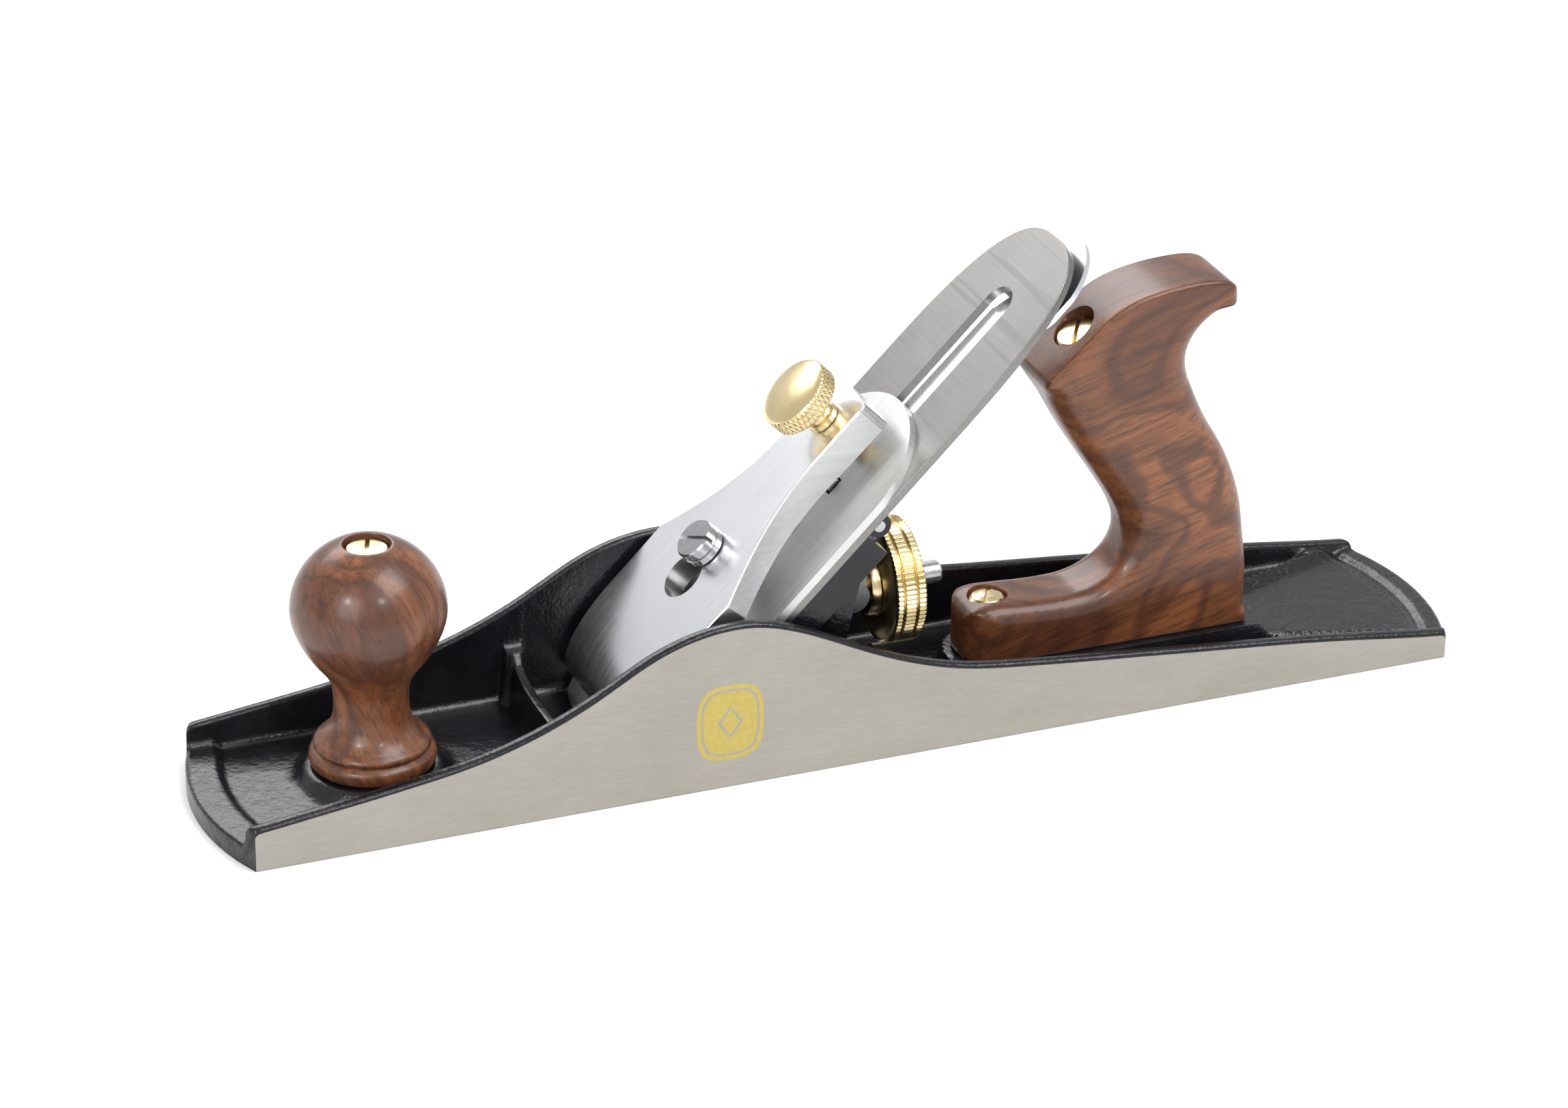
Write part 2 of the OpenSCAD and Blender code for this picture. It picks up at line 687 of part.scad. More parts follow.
module cap_iron() {
    top_s = hump_s0 + cap_iron_l;
    steps = [for (k = [0:24]) hump_s0 + (hump_s1 - hump_s0) * pow(k / 24, 1.4)];
    color("gainsboro") on_bed() difference() {
        intersection() {
            linear_extrude(height = 12) {
                translate([0, -iron_w / 2]) square([top_s - iron_w / 2, iron_w]);
                translate([top_s - iron_w / 2, 0]) circle(r = iron_w / 2, $fn = 120);
            }
            across(iron_w + 2) polygon(concat([for (s = steps) [s, hump_over(s)]],
                [[top_s + 1, cap_iron_t], [top_s + 1, 0]],
                [for (k = [0:23]) [steps[24 - k], hump_under(steps[24 - k])]]));
        }
        linear_extrude(height = 20, center = true)
            long_hole(lever_screw_s - 3, lever_screw_s + 3, 4.5);
        translate([cap_screw_s, 0, -1]) cylinder(r = 4 + fit, h = 10);
        translate([yoke_s - 2.6, -4.5, -1]) cube([5.2, 9, 10]);
    }
}

module cap_iron_screw() {
    color(steel) on_bed() translate([cap_screw_s, 0, 0]) difference() {
        union() {
            translate([0, 0, -iron_t - 2.4]) cylinder(r = 8, h = 2.35);
            translate([0, 0, -iron_t - 1]) cylinder(r = 4, h = iron_t + 1 + cap_iron_t);
        }
        translate([-20, -slot_w / 2, -iron_t - 3]) cube([40, slot_w, 1.8]);
    }
}

// ---------- lever cap ----------

lever_top_s = 118;
shoulder_s = 55;
waist_s = 96;
lever_travel = 9.5;
function lever_half(s) = lever_waist_w / 2
    + (lever_w - lever_waist_w) / 2 * pow(max(0, (waist_s - s) / (waist_s - shoulder_s)), 1.8);

module lever_cap() {
    stations = [for (k = [0:12]) shoulder_s + (waist_s - shoulder_s) * k / 12];
    right = concat([[0, lever_w / 2]], [for (s = stations) [s, lever_half(s)]],
                   [[lever_top_s - 2.4, lever_waist_w / 2 + 0.4],
                    [lever_top_s - 1.4, lever_waist_w / 2 - 0.6],
                    [lever_top_s - 0.3, lever_waist_w / 4]]);
    left = [for (k = [1:len(right)]) [right[len(right) - k][0], -right[len(right) - k][1]]];
    color("white") on_bed() difference() {
        intersection() {
            linear_extrude(height = 30) polygon(concat(right, [[lever_top_s, 0]], left));
            across(lever_w + 2) polygon([[8.6, 5.3], [8.4, 7.4], [9.2, 9.6], [10.8, 11.3],
                [14, 13.1], [18, 14.5], [22.5, 15.5], [27.5, 16.2], [32, lever_face_t],
                [lever_top_s + 1, lever_face_t], [lever_top_s + 1, 7], [104, 7.1], [94, 7.5],
                [84, 8.2], [73, 9], [22, 9], [15, 7.7], [10.6, 5.3]]);
        }
        translate([keyhole_s, 0, -1]) cylinder(r = 6.7, h = 40);
        linear_extrude(height = 40) long_hole(keyhole_s, lever_screw_s, 3.6);
        translate([thumb_s, 0, -1]) cylinder(r = 3.2 + fit, h = 40);
    }
}

module lever_cap_screw() {
    foot = frog_back_t;
    head = lever_face_t + 0.3;
    color(steel) on_bed() translate([lever_screw_s, 0, 0]) difference() {
        union() {
            translate([0, 0, foot]) cylinder(r = 3, h = head + 0.5 - foot);
            translate([0, 0, head]) rotate_extrude()
                polygon([[0, 0], [5.6, 0], [5.9, 0.3], [5.9, 2.1], [5.5, 2.3], [5.5, 2.7],
                         [5.8, 2.9], [5.8, 5], [5.4, 5.5], [0, 5.5]]);
        }
        rotate([0, 0, 62]) translate([-10, -0.5, head + 3.2]) cube([20, 1, 5]);
    }
}

module lever_cap_thumbscrew() {
    tip = cap_iron_t + 0.15;
    color(brass) on_bed() translate([thumb_s, 0, 0]) rotate_extrude($fn = 96)
        polygon([[0, tip], [2.4, tip], [3.2, tip + 0.8], [3.2, lever_face_t + 0.2],
                 [4.7, lever_face_t + 0.2], [4.9, lever_face_t + 0.6],
                 [4.9, lever_face_t + 1.9], [4.1, lever_face_t + 2.3],
                 [4.1, lever_face_t + 3.9], [5, lever_face_t + 4.2],
                 [5, lever_face_t + 5.4], [6.4, lever_face_t + 6.1],
                 [9.6, lever_face_t + 7], [10.4, lever_face_t + 7.9],
                 [10.4, lever_face_t + 12.6], [9.7, lever_face_t + 13.2],
                 [6.5, lever_face_t + 14], [0, lever_face_t + 14.4]]);
}

plane_body();
front_knob();
knob_stud();
knob_nut();
tote();
tote_rod();
tote_nut();
tote_toe_screw();
frog();
frog_screws();
frog_screw_washers();
frog_clip();
frog_clip_screw();
frog_adjusting_screw();
adjuster_stud();
depth_wheel();
wheel_collar();
yoke_lever();
yoke_pin();
lateral_lever();
lateral_rivet();
lateral_roller();
cutting_iron();
cap_iron();
cap_iron_screw();
lever_cap();
lever_cap_screw();
lever_cap_thumbscrew();
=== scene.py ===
import math

import bmesh
import bpy
from mathutils import Matrix, Vector
from mathutils.geometry import delaunay_2d_cdt


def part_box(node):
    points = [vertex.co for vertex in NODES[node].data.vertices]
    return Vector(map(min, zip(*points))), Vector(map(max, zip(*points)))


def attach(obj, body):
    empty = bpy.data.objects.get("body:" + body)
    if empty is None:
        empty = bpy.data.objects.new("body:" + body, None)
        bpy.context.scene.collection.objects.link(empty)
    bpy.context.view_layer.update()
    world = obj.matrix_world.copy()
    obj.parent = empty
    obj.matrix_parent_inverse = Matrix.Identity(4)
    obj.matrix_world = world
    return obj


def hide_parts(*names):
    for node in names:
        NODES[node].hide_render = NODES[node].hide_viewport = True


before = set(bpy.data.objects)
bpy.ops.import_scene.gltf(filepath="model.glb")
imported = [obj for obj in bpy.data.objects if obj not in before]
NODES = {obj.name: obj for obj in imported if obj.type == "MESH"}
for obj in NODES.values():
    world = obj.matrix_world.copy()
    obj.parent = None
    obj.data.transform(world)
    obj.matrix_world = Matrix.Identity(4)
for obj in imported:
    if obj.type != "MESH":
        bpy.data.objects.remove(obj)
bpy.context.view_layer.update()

MM = 0.001
SCENE = bpy.context.scene

# ---------- sizes shared with the CAD, in millimetres ----------

body_low, body_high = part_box("plane_body")
BODY_L = (body_high.x - body_low.x) / MM
BODY_W = (body_high.y - body_low.y) / MM
HUMP_H = body_high.z / MM
END_BULGE = 7.0
SOLE_T = 4.5
WALL_T = 3.5
LIP_H = 6.0
LIP_W = 9.0
END_R = ((BODY_W / 2) ** 2 + END_BULGE ** 2) / (2 * END_BULGE)
END_CX = BODY_L / 2 - END_R
SIDE_X = BODY_L / 2 - END_BULGE
INNER_Y = BODY_W / 2 - WALL_T
MOUTH = (62.606, 68.806)
MOUTH_REAR_TOP_X = 58.1
EDGE_X = 67.2
EDGE_S = 0.4
BED_SLOPE = math.sqrt(0.5)
IRON_T = 2.4
IRON_W = 50.8
IRON_L = 182.9
KNOB_X = 129.6
KNOB_Z = 8.5
FOOT_ROUND_X = -47.0
STUD_Z = 36.4

# The walls of the casting's looks lie this far inside the CAD, so that the mark stays in its box.
MARK_PROUD = 0.03


def bed(s, y, t):
    """A point s up the bed from the cutting edge, y across and t out of the bed, in metres."""
    x = EDGE_X - s * BED_SLOPE + t * BED_SLOPE
    return Vector((x * MM, y * MM, (s * BED_SLOPE + t * BED_SLOPE) * MM))


def ease(a, b, v):
    """0 at a, 1 at b, with a smooth start and end."""
    k = min(1.0, max(0.0, (v - a) / (b - a)))
    return k * k * (3 - 2 * k)


def hermite(keys, x):
    """The smooth curve through [x, height, slope] keys."""
    for (x0, h0, m0), (x1, h1, m1) in zip(keys, keys[1:]):
        if x <= x1 or (x1, h1, m1) == tuple(keys[-1]):
            w = x1 - x0
            u = (x - x0) / w
            return (
                (2 * u ** 3 - 3 * u ** 2 + 1) * h0
                + (u ** 3 - 2 * u ** 2 + u) * w * m0
                + (3 * u ** 2 - 2 * u ** 3) * h1
                + (u ** 3 - u ** 2) * w * m1
            )


def steps(*stops):
    """Values from the first stop to the last: each later stop is (value, spacing up to it)."""
    values = [stops[0]]
    for stop, spacing in stops[1:]:
        start = values[-1]
        count = max(1, round((stop - start) / spacing))
        values += [start + (stop - start) * k / count for k in range(1, count + 1)]
    return values


# ---------- mesh helpers ----------


def piece(name, verts, faces, materials, body, nodes=(), sharp=35, face_slots=None):
    """One piece of the looks: its material slot, the CAD nodes it stands in for and its body."""
    mesh = bpy.data.meshes.new(name)
    mesh.from_pydata([tuple(v) for v in verts], [], faces)
    mesh.validate()
    obj = bpy.data.objects.new(name, mesh)
    SCENE.collection.objects.link(obj)
    for material in materials:
        mesh.materials.append(material)
    if face_slots:
        for polygon, index in zip(mesh.polygons, face_slots):
            polygon.material_index = index
    tidy_normals(obj)
    soften(obj, sharp)
    if nodes:
        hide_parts(*nodes)
    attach(obj, body)
    return obj


def tidy_normals(obj):
    """Merges doubled points and turns every face outwards."""
    bm = bmesh.new()
    bm.from_mesh(obj.data)
    bmesh.ops.remove_doubles(bm, verts=bm.verts, dist=1e-7)
    bmesh.ops.dissolve_degenerate(bm, edges=bm.edges, dist=1e-8)
    bmesh.ops.recalc_face_normals(bm, faces=bm.faces)
    bm.to_mesh(obj.data)
    bm.free()


def soften(obj, sharp):
    for polygon in obj.data.polygons:
        polygon.use_smooth = True
    obj.data.set_sharp_from_angle(angle=math.radians(sharp))


def even_shading(obj, weight=90):
    """Lets broad flat faces keep flat shading beside their rounded edges."""
    modifier = obj.modifiers.new("shading", "WEIGHTED_NORMAL")
    modifier.mode = "FACE_AREA"
    modifier.weight = weight
    modifier.keep_sharp = True
    settle(obj)


def settle(obj):
    """Applies every modifier of the object."""
    graph = bpy.context.evaluated_depsgraph_get()
    mesh = bpy.data.meshes.new_from_object(obj.evaluated_get(graph))
    obj.modifiers.clear()
    obj.data = mesh


def carve(obj, cutters):
    for cutter in cutters:
        modifier = obj.modifiers.new("cut", "BOOLEAN")
        modifier.operation = "DIFFERENCE"
        modifier.solver = "EXACT"
        modifier.object = cutter
        settle(obj)
        bpy.data.objects.remove(cutter)


def round_edges(obj, width, segments=3, angle=40):
    modifier = obj.modifiers.new("round", "BEVEL")
    modifier.width = width * MM
    modifier.segments = segments
    modifier.limit_method = "ANGLE"
    modifier.angle_limit = math.radians(angle)
    modifier.harden_normals = True
    modifier.use_clamp_overlap = True
    settle(obj)
    for polygon in obj.data.polygons:
        polygon.use_smooth = True


def loft(rings, closed=True, capped=True):
    """Faces between rings that all have the same number of points."""
    verts = [v for ring in rings for v in ring]
    n = len(rings[0])
    faces = []
    for i in range(len(rings) - 1):
        for j in range(n if closed else n - 1):
            a = i * n + j
            b = i * n + (j + 1) % n
            faces.append((a, b, b + n, a + n))
    if capped:
        faces.append(tuple(reversed(range(n))))
        faces.append(tuple(range((len(rings) - 1) * n, len(rings) * n)))
    return verts, faces


def lathe(profile, place, count=96, ripple=None):
    """Turns [radius, height] points about an axis. place(x, y, h) gives the point in the frame.
    ripple(radius, height, angle) may change a radius, for knurling."""
    rings = []
    for r, h in profile:
        ring = []
        for k in range(count):
            a = 2 * math.pi * k / count
            rr = ripple(r, h, a) if ripple else r
            ring.append(place(rr * math.cos(a), rr * math.sin(a), h))
        rings.append(ring)
    return loft(rings)


def upright(x0, z0):
    return lambda x, y, h: Vector(((x0 + x) * MM, y * MM, (z0 + h) * MM))


def out_of_bed(s0):
    return lambda x, y, h: bed(s0 + x, y, h)


def along_x(z0):
    return lambda x, y, h: Vector((h * MM, x * MM, (z0 + y) * MM))


def bare(name, verts, faces):
    """A helper solid for cutting, which isn't a piece."""
    mesh = bpy.data.meshes.new(name)
    mesh.from_pydata([tuple(v) for v in verts], [], faces)
    obj = bpy.data.objects.new(name, mesh)
    SCENE.collection.objects.link(obj)
    tidy_normals(obj)
    return obj


def round_hole(place, radius, low, high, count=64):
    return bare("hole", *lathe([(radius, low), (radius, high)], place, count))


def long_hole(s0, s1, radius, low, high):
    """A slot with round ends up the bed."""
    outline = []
    for k in range(25):
        a = math.pi / 2 - math.pi * k / 24
        outline.append((s1 + radius * math.cos(a), radius * math.sin(a)))
    for k in range(25):
        a = -math.pi / 2 - math.pi * k / 24
        outline.append((s0 + radius * math.cos(a), radius * math.sin(a)))
    return bare("slot", *loft([[bed(s, y, t) for s, y in outline] for t in (low, high)]))


# ---------- materials ----------


class Shader:
    """A small wrapper that makes and links shader nodes."""

    def __init__(self, name):
        self.material = bpy.data.materials.new(name)
        self.material.use_nodes = True
        self.tree = self.material.node_tree
        self.bsdf = self.tree.nodes["Principled BSDF"]
        self.coords = self.node("ShaderNodeTexCoord").outputs["Object"]

    def node(self, kind, **settings):
        made = self.tree.nodes.new(kind)
        for key, value in settings.items():
            setattr(made, key, value)
        return made

    def link(self, a, b):
        self.tree.links.new(a, b)

    def set(self, **values):
        for key, value in values.items():
            self.bsdf.inputs[key.replace("_", " ")].default_value = value

    def mapped(self, scale=(1, 1, 1), turn=(0, 0, 0), source=None):
        made = self.node("ShaderNodeMapping")
        made.inputs["Scale"].default_value = scale
        made.inputs["Rotation"].default_value = turn
        self.link(source or self.coords, made.inputs["Vector"])
        return made.outputs["Vector"]

    def noise(self, scale, detail=3.0, rough=0.5, vector=None, distortion=0.0):
        made = self.node("ShaderNodeTexNoise")
        made.inputs["Scale"].default_value = scale
        made.inputs["Detail"].default_value = detail
        made.inputs["Roughness"].default_value = rough
        made.inputs["Distortion"].default_value = distortion
        self.link(vector or self.coords, made.inputs["Vector"])
        return made.outputs["Fac"]

    def ramp(self, source, stops):
        made = self.node("ShaderNodeValToRGB")
        elements = made.color_ramp.elements
        while len(elements) < len(stops):
            elements.new(0.5)
        for element, (at, colour) in zip(elements, stops):
            element.position = at
            element.color = (*colour, 1.0)
        self.link(source, made.inputs["Fac"])
        return made.outputs["Color"]

    def span(self, source, low, high, start=0.0, end=1.0):
        made = self.node("ShaderNodeMapRange")
        made.inputs["From Min"].default_value = start
        made.inputs["From Max"].default_value = end
        made.inputs["To Min"].default_value = low
        made.inputs["To Max"].default_value = high
        self.link(source, made.inputs["Value"])
        return made.outputs["Result"]

    def mix(self, fac, a, b, blend="MIX"):
        made = self.node("ShaderNodeMix", data_type="RGBA", blend_type=blend)
        for socket, value in ((made.inputs[0], fac), (made.inputs[6], a), (made.inputs[7], b)):
            if isinstance(value, (int, float)):
                socket.default_value = value
            elif isinstance(value, tuple):
                socket.default_value = (*value, 1.0)
            else:
                self.link(value, socket)
        return made.outputs[2]

    def maths(self, operation, a, b=0.0):
        made = self.node("ShaderNodeMath", operation=operation)
        for socket, value in zip(made.inputs, (a, b)):
            if isinstance(value, (int, float)):
                socket.default_value = value
            else:
                self.link(value, socket)
        return made.outputs[0]

    def bump(self, height, strength, distance, below=None):
        made = self.node("ShaderNodeBump")
        made.inputs["Strength"].default_value = strength
        made.inputs["Distance"].default_value = distance
        self.link(height, made.inputs["Height"])
        if below:
            self.link(below, made.inputs["Normal"])
        self.link(made.outputs["Normal"], self.bsdf.inputs["Normal"])
        return made.outputs["Normal"]


def japanning():
    """Thick glossy black enamel over a rough casting."""
    m = Shader("japanning")
    m.set(IOR=1.42, Coat_Weight=0.15, Coat_Roughness=0.06)
    tone = m.noise(90, 4)
    m.link(m.ramp(tone, [(0.3, (0.0035, 0.0035, 0.005)), (0.7, (0.010, 0.010, 0.013))]),
           m.bsdf.inputs["Base Color"])
    m.link(m.span(m.noise(260, 3), 0.12, 0.34), m.bsdf.inputs["Roughness"])
    sand = m.bump(m.noise(1000, 3, 0.6), 0.3, 0.0005)
    m.bump(m.noise(240, 3, 0.6), 0.32, 0.0011, below=sand)
    return m.material


def ground_iron():
    """Surface-ground cast iron: warm grey, mottled, with fine short grinding marks."""
    m = Shader("ground_iron")
    m.set(Metallic=0.8, IOR=1.8)
    blotch = m.noise(30, 4, 0.6, m.mapped(scale=(0.8, 1, 1.6)))
    fine = m.noise(1900, 3, 0.6, m.mapped(scale=(0.12, 1, 1)))
    base = m.ramp(blotch, [(0.3, (0.355, 0.333, 0.292)), (0.7, (0.405, 0.38, 0.337))])
    marks = m.ramp(fine, [(0.35, (0.9, 0.9, 0.9)), (0.65, (1, 1, 1))])
    m.link(m.mix(1.0, base, marks, "MULTIPLY"), m.bsdf.inputs["Base Color"])
    m.link(m.span(fine, 0.44, 0.58), m.bsdf.inputs["Roughness"])
    m.bump(fine, 0.08, 0.0001)
    return m.material


def steel(name, tone, rough, stretch, turn=(0, 0, 0), depth=0.15, scratches=False):
    """Steel with brushed marks stretched along one direction, and a few slanting scratches."""
    m = Shader(name)
    m.set(Metallic=1.0)
    marks = m.noise(1100, 3, vector=m.mapped(scale=stretch, turn=turn))
    cloud = m.noise(35, 3)
    low = tuple(0.84 * c for c in tone)
    streaks = m.ramp(marks, [(0.25, low), (0.75, tone)])
    patches = m.ramp(cloud, [(0.3, (0.88, 0.88, 0.88)), (0.7, (1, 1, 1))])
    colour = m.mix(1.0, streaks, patches, "MULTIPLY")
    if scratches:
        lines = m.noise(420, 2, 0.4, m.mapped(scale=(1, 0.025, 1), turn=(0.35, 0.785, 0.5)))
        mask = m.span(lines, 0.0, 0.5, 0.66, 0.72)
        colour = m.mix(mask, colour, tuple(0.62 * c for c in tone))
    m.link(colour, m.bsdf.inputs["Base Color"])
    m.link(m.span(marks, rough * 0.85, rough * 1.2), m.bsdf.inputs["Roughness"])
    m.bump(marks, depth, 0.0002)
    return m.material


def nickel():
    """Polished nickel plate with a few hairline wipes."""
    m = Shader("polished_nickel")
    m.set(Metallic=1.0)
    wipes = m.noise(700, 2, vector=m.mapped(scale=(0.06, 1, 0.06), turn=(0, 0.785, 0)))
    cloud = m.noise(22, 2)
    m.link(m.ramp(cloud, [(0.3, (0.80, 0.805, 0.82)), (0.7, (0.87, 0.875, 0.885))]),
           m.bsdf.inputs["Base Color"])
    m.link(m.span(wipes, 0.19, 0.3), m.bsdf.inputs["Roughness"])
    m.bump(wipes, 0.04, 0.0001)
    return m.material


def brass():
    """Turned brass, slightly uneven in colour and gloss."""
    m = Shader("turned_brass")
    m.set(Metallic=1.0)
    tone = m.noise(60, 3)
    m.link(m.ramp(tone, [(0.3, (0.72, 0.57, 0.30)), (0.7, (0.86, 0.71, 0.43))]),
           m.bsdf.inputs["Base Color"])
    m.link(m.span(m.noise(400, 2), 0.16, 0.32), m.bsdf.inputs["Roughness"])
    m.bump(m.noise(1800, 2), 0.06, 0.0001)
    return m.material


def rosewood(name, turn, centre, figure):
    """Warm brown hardwood under lacquer: broad wandering bands, fine streaks and pores."""
    m = Shader(name)
    m.set(IOR=1.43, Coat_Weight=0.3, Coat_Roughness=0.17)
    shift = m.node("ShaderNodeMapping")
    shift.inputs["Location"].default_value = tuple(-c for c in centre)
    shift.inputs["Rotation"].default_value = turn
    m.link(m.coords, shift.inputs["Vector"])
    grain = shift.outputs["Vector"]
    broad = m.noise(figure, 2, 0.45, m.mapped(scale=(0.5, 1, 1), source=grain), 0.8)
    colour = m.ramp(broad, [(0.30, (0.082, 0.027, 0.012)), (0.44, (0.140, 0.048, 0.019)),
                            (0.56, (0.195, 0.068, 0.025)), (0.72, (0.245, 0.088, 0.032))])
    wave = m.maths("SINE", m.maths("MULTIPLY", broad, 48.0))
    fine_warp = m.noise(150, 3, 0.55, m.mapped(scale=(0.2, 1, 1), source=grain), 0.5)
    bands = m.span(m.maths("ADD", wave, fine_warp), 0.0, 0.7, 0.35, 1.45)
    banded = m.mix(bands, colour, (0.058, 0.019, 0.010))
    streaks = m.noise(560, 4, 0.65, m.mapped(scale=(0.05, 1, 1), source=grain))
    streaked = m.mix(m.span(streaks, 0.62, 0.0, 0.36, 0.58), banded, (0.050, 0.017, 0.009))
    pores = m.noise(1500, 2, 0.5, m.mapped(scale=(0.06, 1, 1), source=grain))
    pore_mask = m.span(pores, 1.0, 0.0, 0.34, 0.42)
    m.link(m.mix(m.maths("MULTIPLY", pore_mask, 0.5), streaked, (0.028, 0.010, 0.006)),
           m.bsdf.inputs["Base Color"])
    m.link(m.span(streaks, 0.32, 0.45), m.bsdf.inputs["Roughness"])
    m.bump(m.maths("SUBTRACT", 1.0, pore_mask), 0.1, 0.0002)
    return m.material


JAPAN = japanning()
GROUND = ground_iron()
NICKEL = nickel()
BRASS = brass()
IRON_STEEL = steel("iron_steel", (0.295, 0.29, 0.28), 0.36, (1, 0.05, 1), depth=0.05, scratches=True)
CAP_STEEL = steel("cap_iron_steel", (0.78, 0.78, 0.765), 0.48, (0.04, 1, 0.04), (0, 0.785, 0))
BAND_STEEL = steel("brushed_band", (0.60, 0.61, 0.61), 0.36, (0.03, 1, 1), (0, 0.785, 0), 0.15)
SCREW_STEEL = steel("screw_steel", (0.52, 0.52, 0.53), 0.2, (1, 1, 1), depth=0.04)
PLAIN_STEEL = steel("plain_steel", (0.55, 0.55, 0.56), 0.28, (1, 1, 1), depth=0.06)
DARK_STEEL = steel("yoke_steel", (0.34, 0.35, 0.37), 0.36, (1, 1, 1), depth=0.1)
KNOB_WOOD = rosewood("knob_rosewood", (0, 1.2, 0.3), (0.1296, 0.006, 0.045), 30)
TOTE_WOOD = rosewood("tote_rosewood", (0, -0.30, 0.05), (-0.095, 0.0, 0.06), 26)

# ---------- the body casting ----------

WALL_KEYS = [(-SIDE_X - 8, 7.4, 0.08), (-SIDE_X, 8.1, 0.09), (-140, 12, 0.13), (-85, 17.6, 0.1),
             (-45, 21.5, 0.11), (-22, 25, 0.25), (4, 34.8, 0.49), (39, HUMP_H, 0),
             (66, HUMP_H - 7.2, -0.55), (82, 31.3, -0.49), (98, 24.6, -0.34),
             (112, 20.6, -0.22), (134, 16.9, -0.15), (160, 13.4, -0.14), (SIDE_X, 12, -0.15),
             (SIDE_X + 8, 10.8, -0.15)]


def half_length(y):
    """Half the casting's length at a distance from the middle line: the ends are arcs."""
    return END_CX + math.sqrt(END_R ** 2 - y ** 2)


def plan_x(x, y):
    """Where a station lies at y: straight across the middle, an arc at the ends."""
    bend = ease(120, BODY_L / 2, abs(x)) * (BODY_L / 2 - half_length(y))
    return x - math.copysign(bend, x)


def step_down(distance, width):
    """1 inside a raised feature, 0 outside it, with rounded corners and fillets."""
    return 1 - ease(-width * 0.35, width * 0.65, distance)


RIB_X = 81.5
RIB_HALF_T = 1.6
RIB_BOSS_R = 3.2
RIB_FLAT_Y = 22
PAD_HALF_W = 14
PAD_BACK_X = -123
PAD_H = 10.5
FAN_START = (-118.0, 12.0)
FAN_END = (-163.0, 27.2)
FAN_HALF_T = 1.1
FAN_H = 8.0
SEAT_X = (6.9, 50.6)
SEAT_HALF_W = 22
SEAT_H = 9.0
LUG_X = -6
LUG_HALF_L = 3
LUG_HALF_W = 6.5
LUG_H = 16.7
KNOB_BOSS_H = 3.5


def rib_height(y):
    """The cross rib's top edge: lowest in the middle and curving up to the walls."""
    if abs(y) < RIB_FLAT_Y:
        return 13.6 + 3.2 * (abs(y) / RIB_FLAT_Y) ** 4
    return 16.8 + 3.0 * ease(RIB_FLAT_Y, 25.5, abs(y))


def rib_distance(x, y):
    """Distance outside the cross rib, which ends in a round boss at each wall."""
    plate = abs(x - RIB_X) - RIB_HALF_T
    boss = math.hypot(x - RIB_X, abs(y) - (INNER_Y - 1.6)) - RIB_BOSS_R
    return min(plate, boss)


def pad_distance(x, y):
    """Distance outside the tote's pad, which has a round front."""
    if x > FOOT_ROUND_X:
        return math.hypot(x - FOOT_ROUND_X, y) - PAD_HALF_W
    return max(abs(y) - PAD_HALF_W, PAD_BACK_X - x)


def fan_distance(x, y):
    """Distance outside one of the two ribs that spread from the pad to the heel's corners."""
    (ax, ay), (bx, by) = FAN_START, FAN_END
    dx, dy = bx - ax, by - ay
    k = min(1.0, max(0.0, ((x - ax) * dx + (abs(y) - ay) * dy) / (dx * dx + dy * dy)))
    return math.hypot(x - ax - k * dx, abs(y) - ay - k * dy) - FAN_HALF_T


def toe_height(x, y, end):
    """Height of the floor ahead of the middle. end is the distance to the toe's edge."""
    h = SOLE_T + (LIP_H - SOLE_T) * step_down(end - LIP_W, 2.4)
    r = math.hypot(x - KNOB_X, y)
    boss = SOLE_T + 0.5 * step_down(r - 21.2, 2.0) + KNOB_BOSS_H * (1 - ease(17.2, 21.0, r))
    h = max(h, boss)
    h += max(0.0, rib_height(y) - h) * step_down(rib_distance(x, y), 1.6)
    seat = max(abs(y) - SEAT_HALF_W, SEAT_X[0] - x, x - SEAT_X[1])
    return h + max(0.0, SEAT_H - h) * step_down(seat, 1.2)


def heel_height(x, y, end):
    """Height of the floor behind the middle. end is the distance to the heel's edge."""
    h = SOLE_T + (LIP_H - SOLE_T) * step_down(end - 10.5, 2.4)
    h -= 1.0 * math.exp(-((end - 7.4) / 1.5) ** 2)
    spread = (FAN_END[1] - FAN_START[1]) / (FAN_START[0] - FAN_END[0])
    between = max(abs(y) - (FAN_START[1] + (FAN_START[0] - x) * spread), x - FAN_START[0])
    h += max(0.0, LIP_H - 0.2 - h) * step_down(between, 2.0) * step_down(11 - end, 2.0)
    h += max(0.0, FAN_H - h) * step_down(fan_distance(x, y), 1.5)
    h += max(0.0, PAD_H - h) * step_down(pad_distance(x, y), 1.8)
    lug = max(abs(y) - LUG_HALF_W, abs(x - LUG_X) - LUG_HALF_L)
    return h + max(0.0, LUG_H - h) * step_down(lug, 1.2)


def floor_height(x, y):
    """Height of the casting's inside floor, with its boss, ribs, seat, pad and lips."""
    end = half_length(y) - abs(x)
    return toe_height(x, y, end) if x > 0 else heel_height(x, y, end)


RIM_R = 1.25
FLOOR_FILLET = 2.6
WALL_DRAFT = 0.3
FLOOR_EDGE_Y = INNER_Y - FLOOR_FILLET


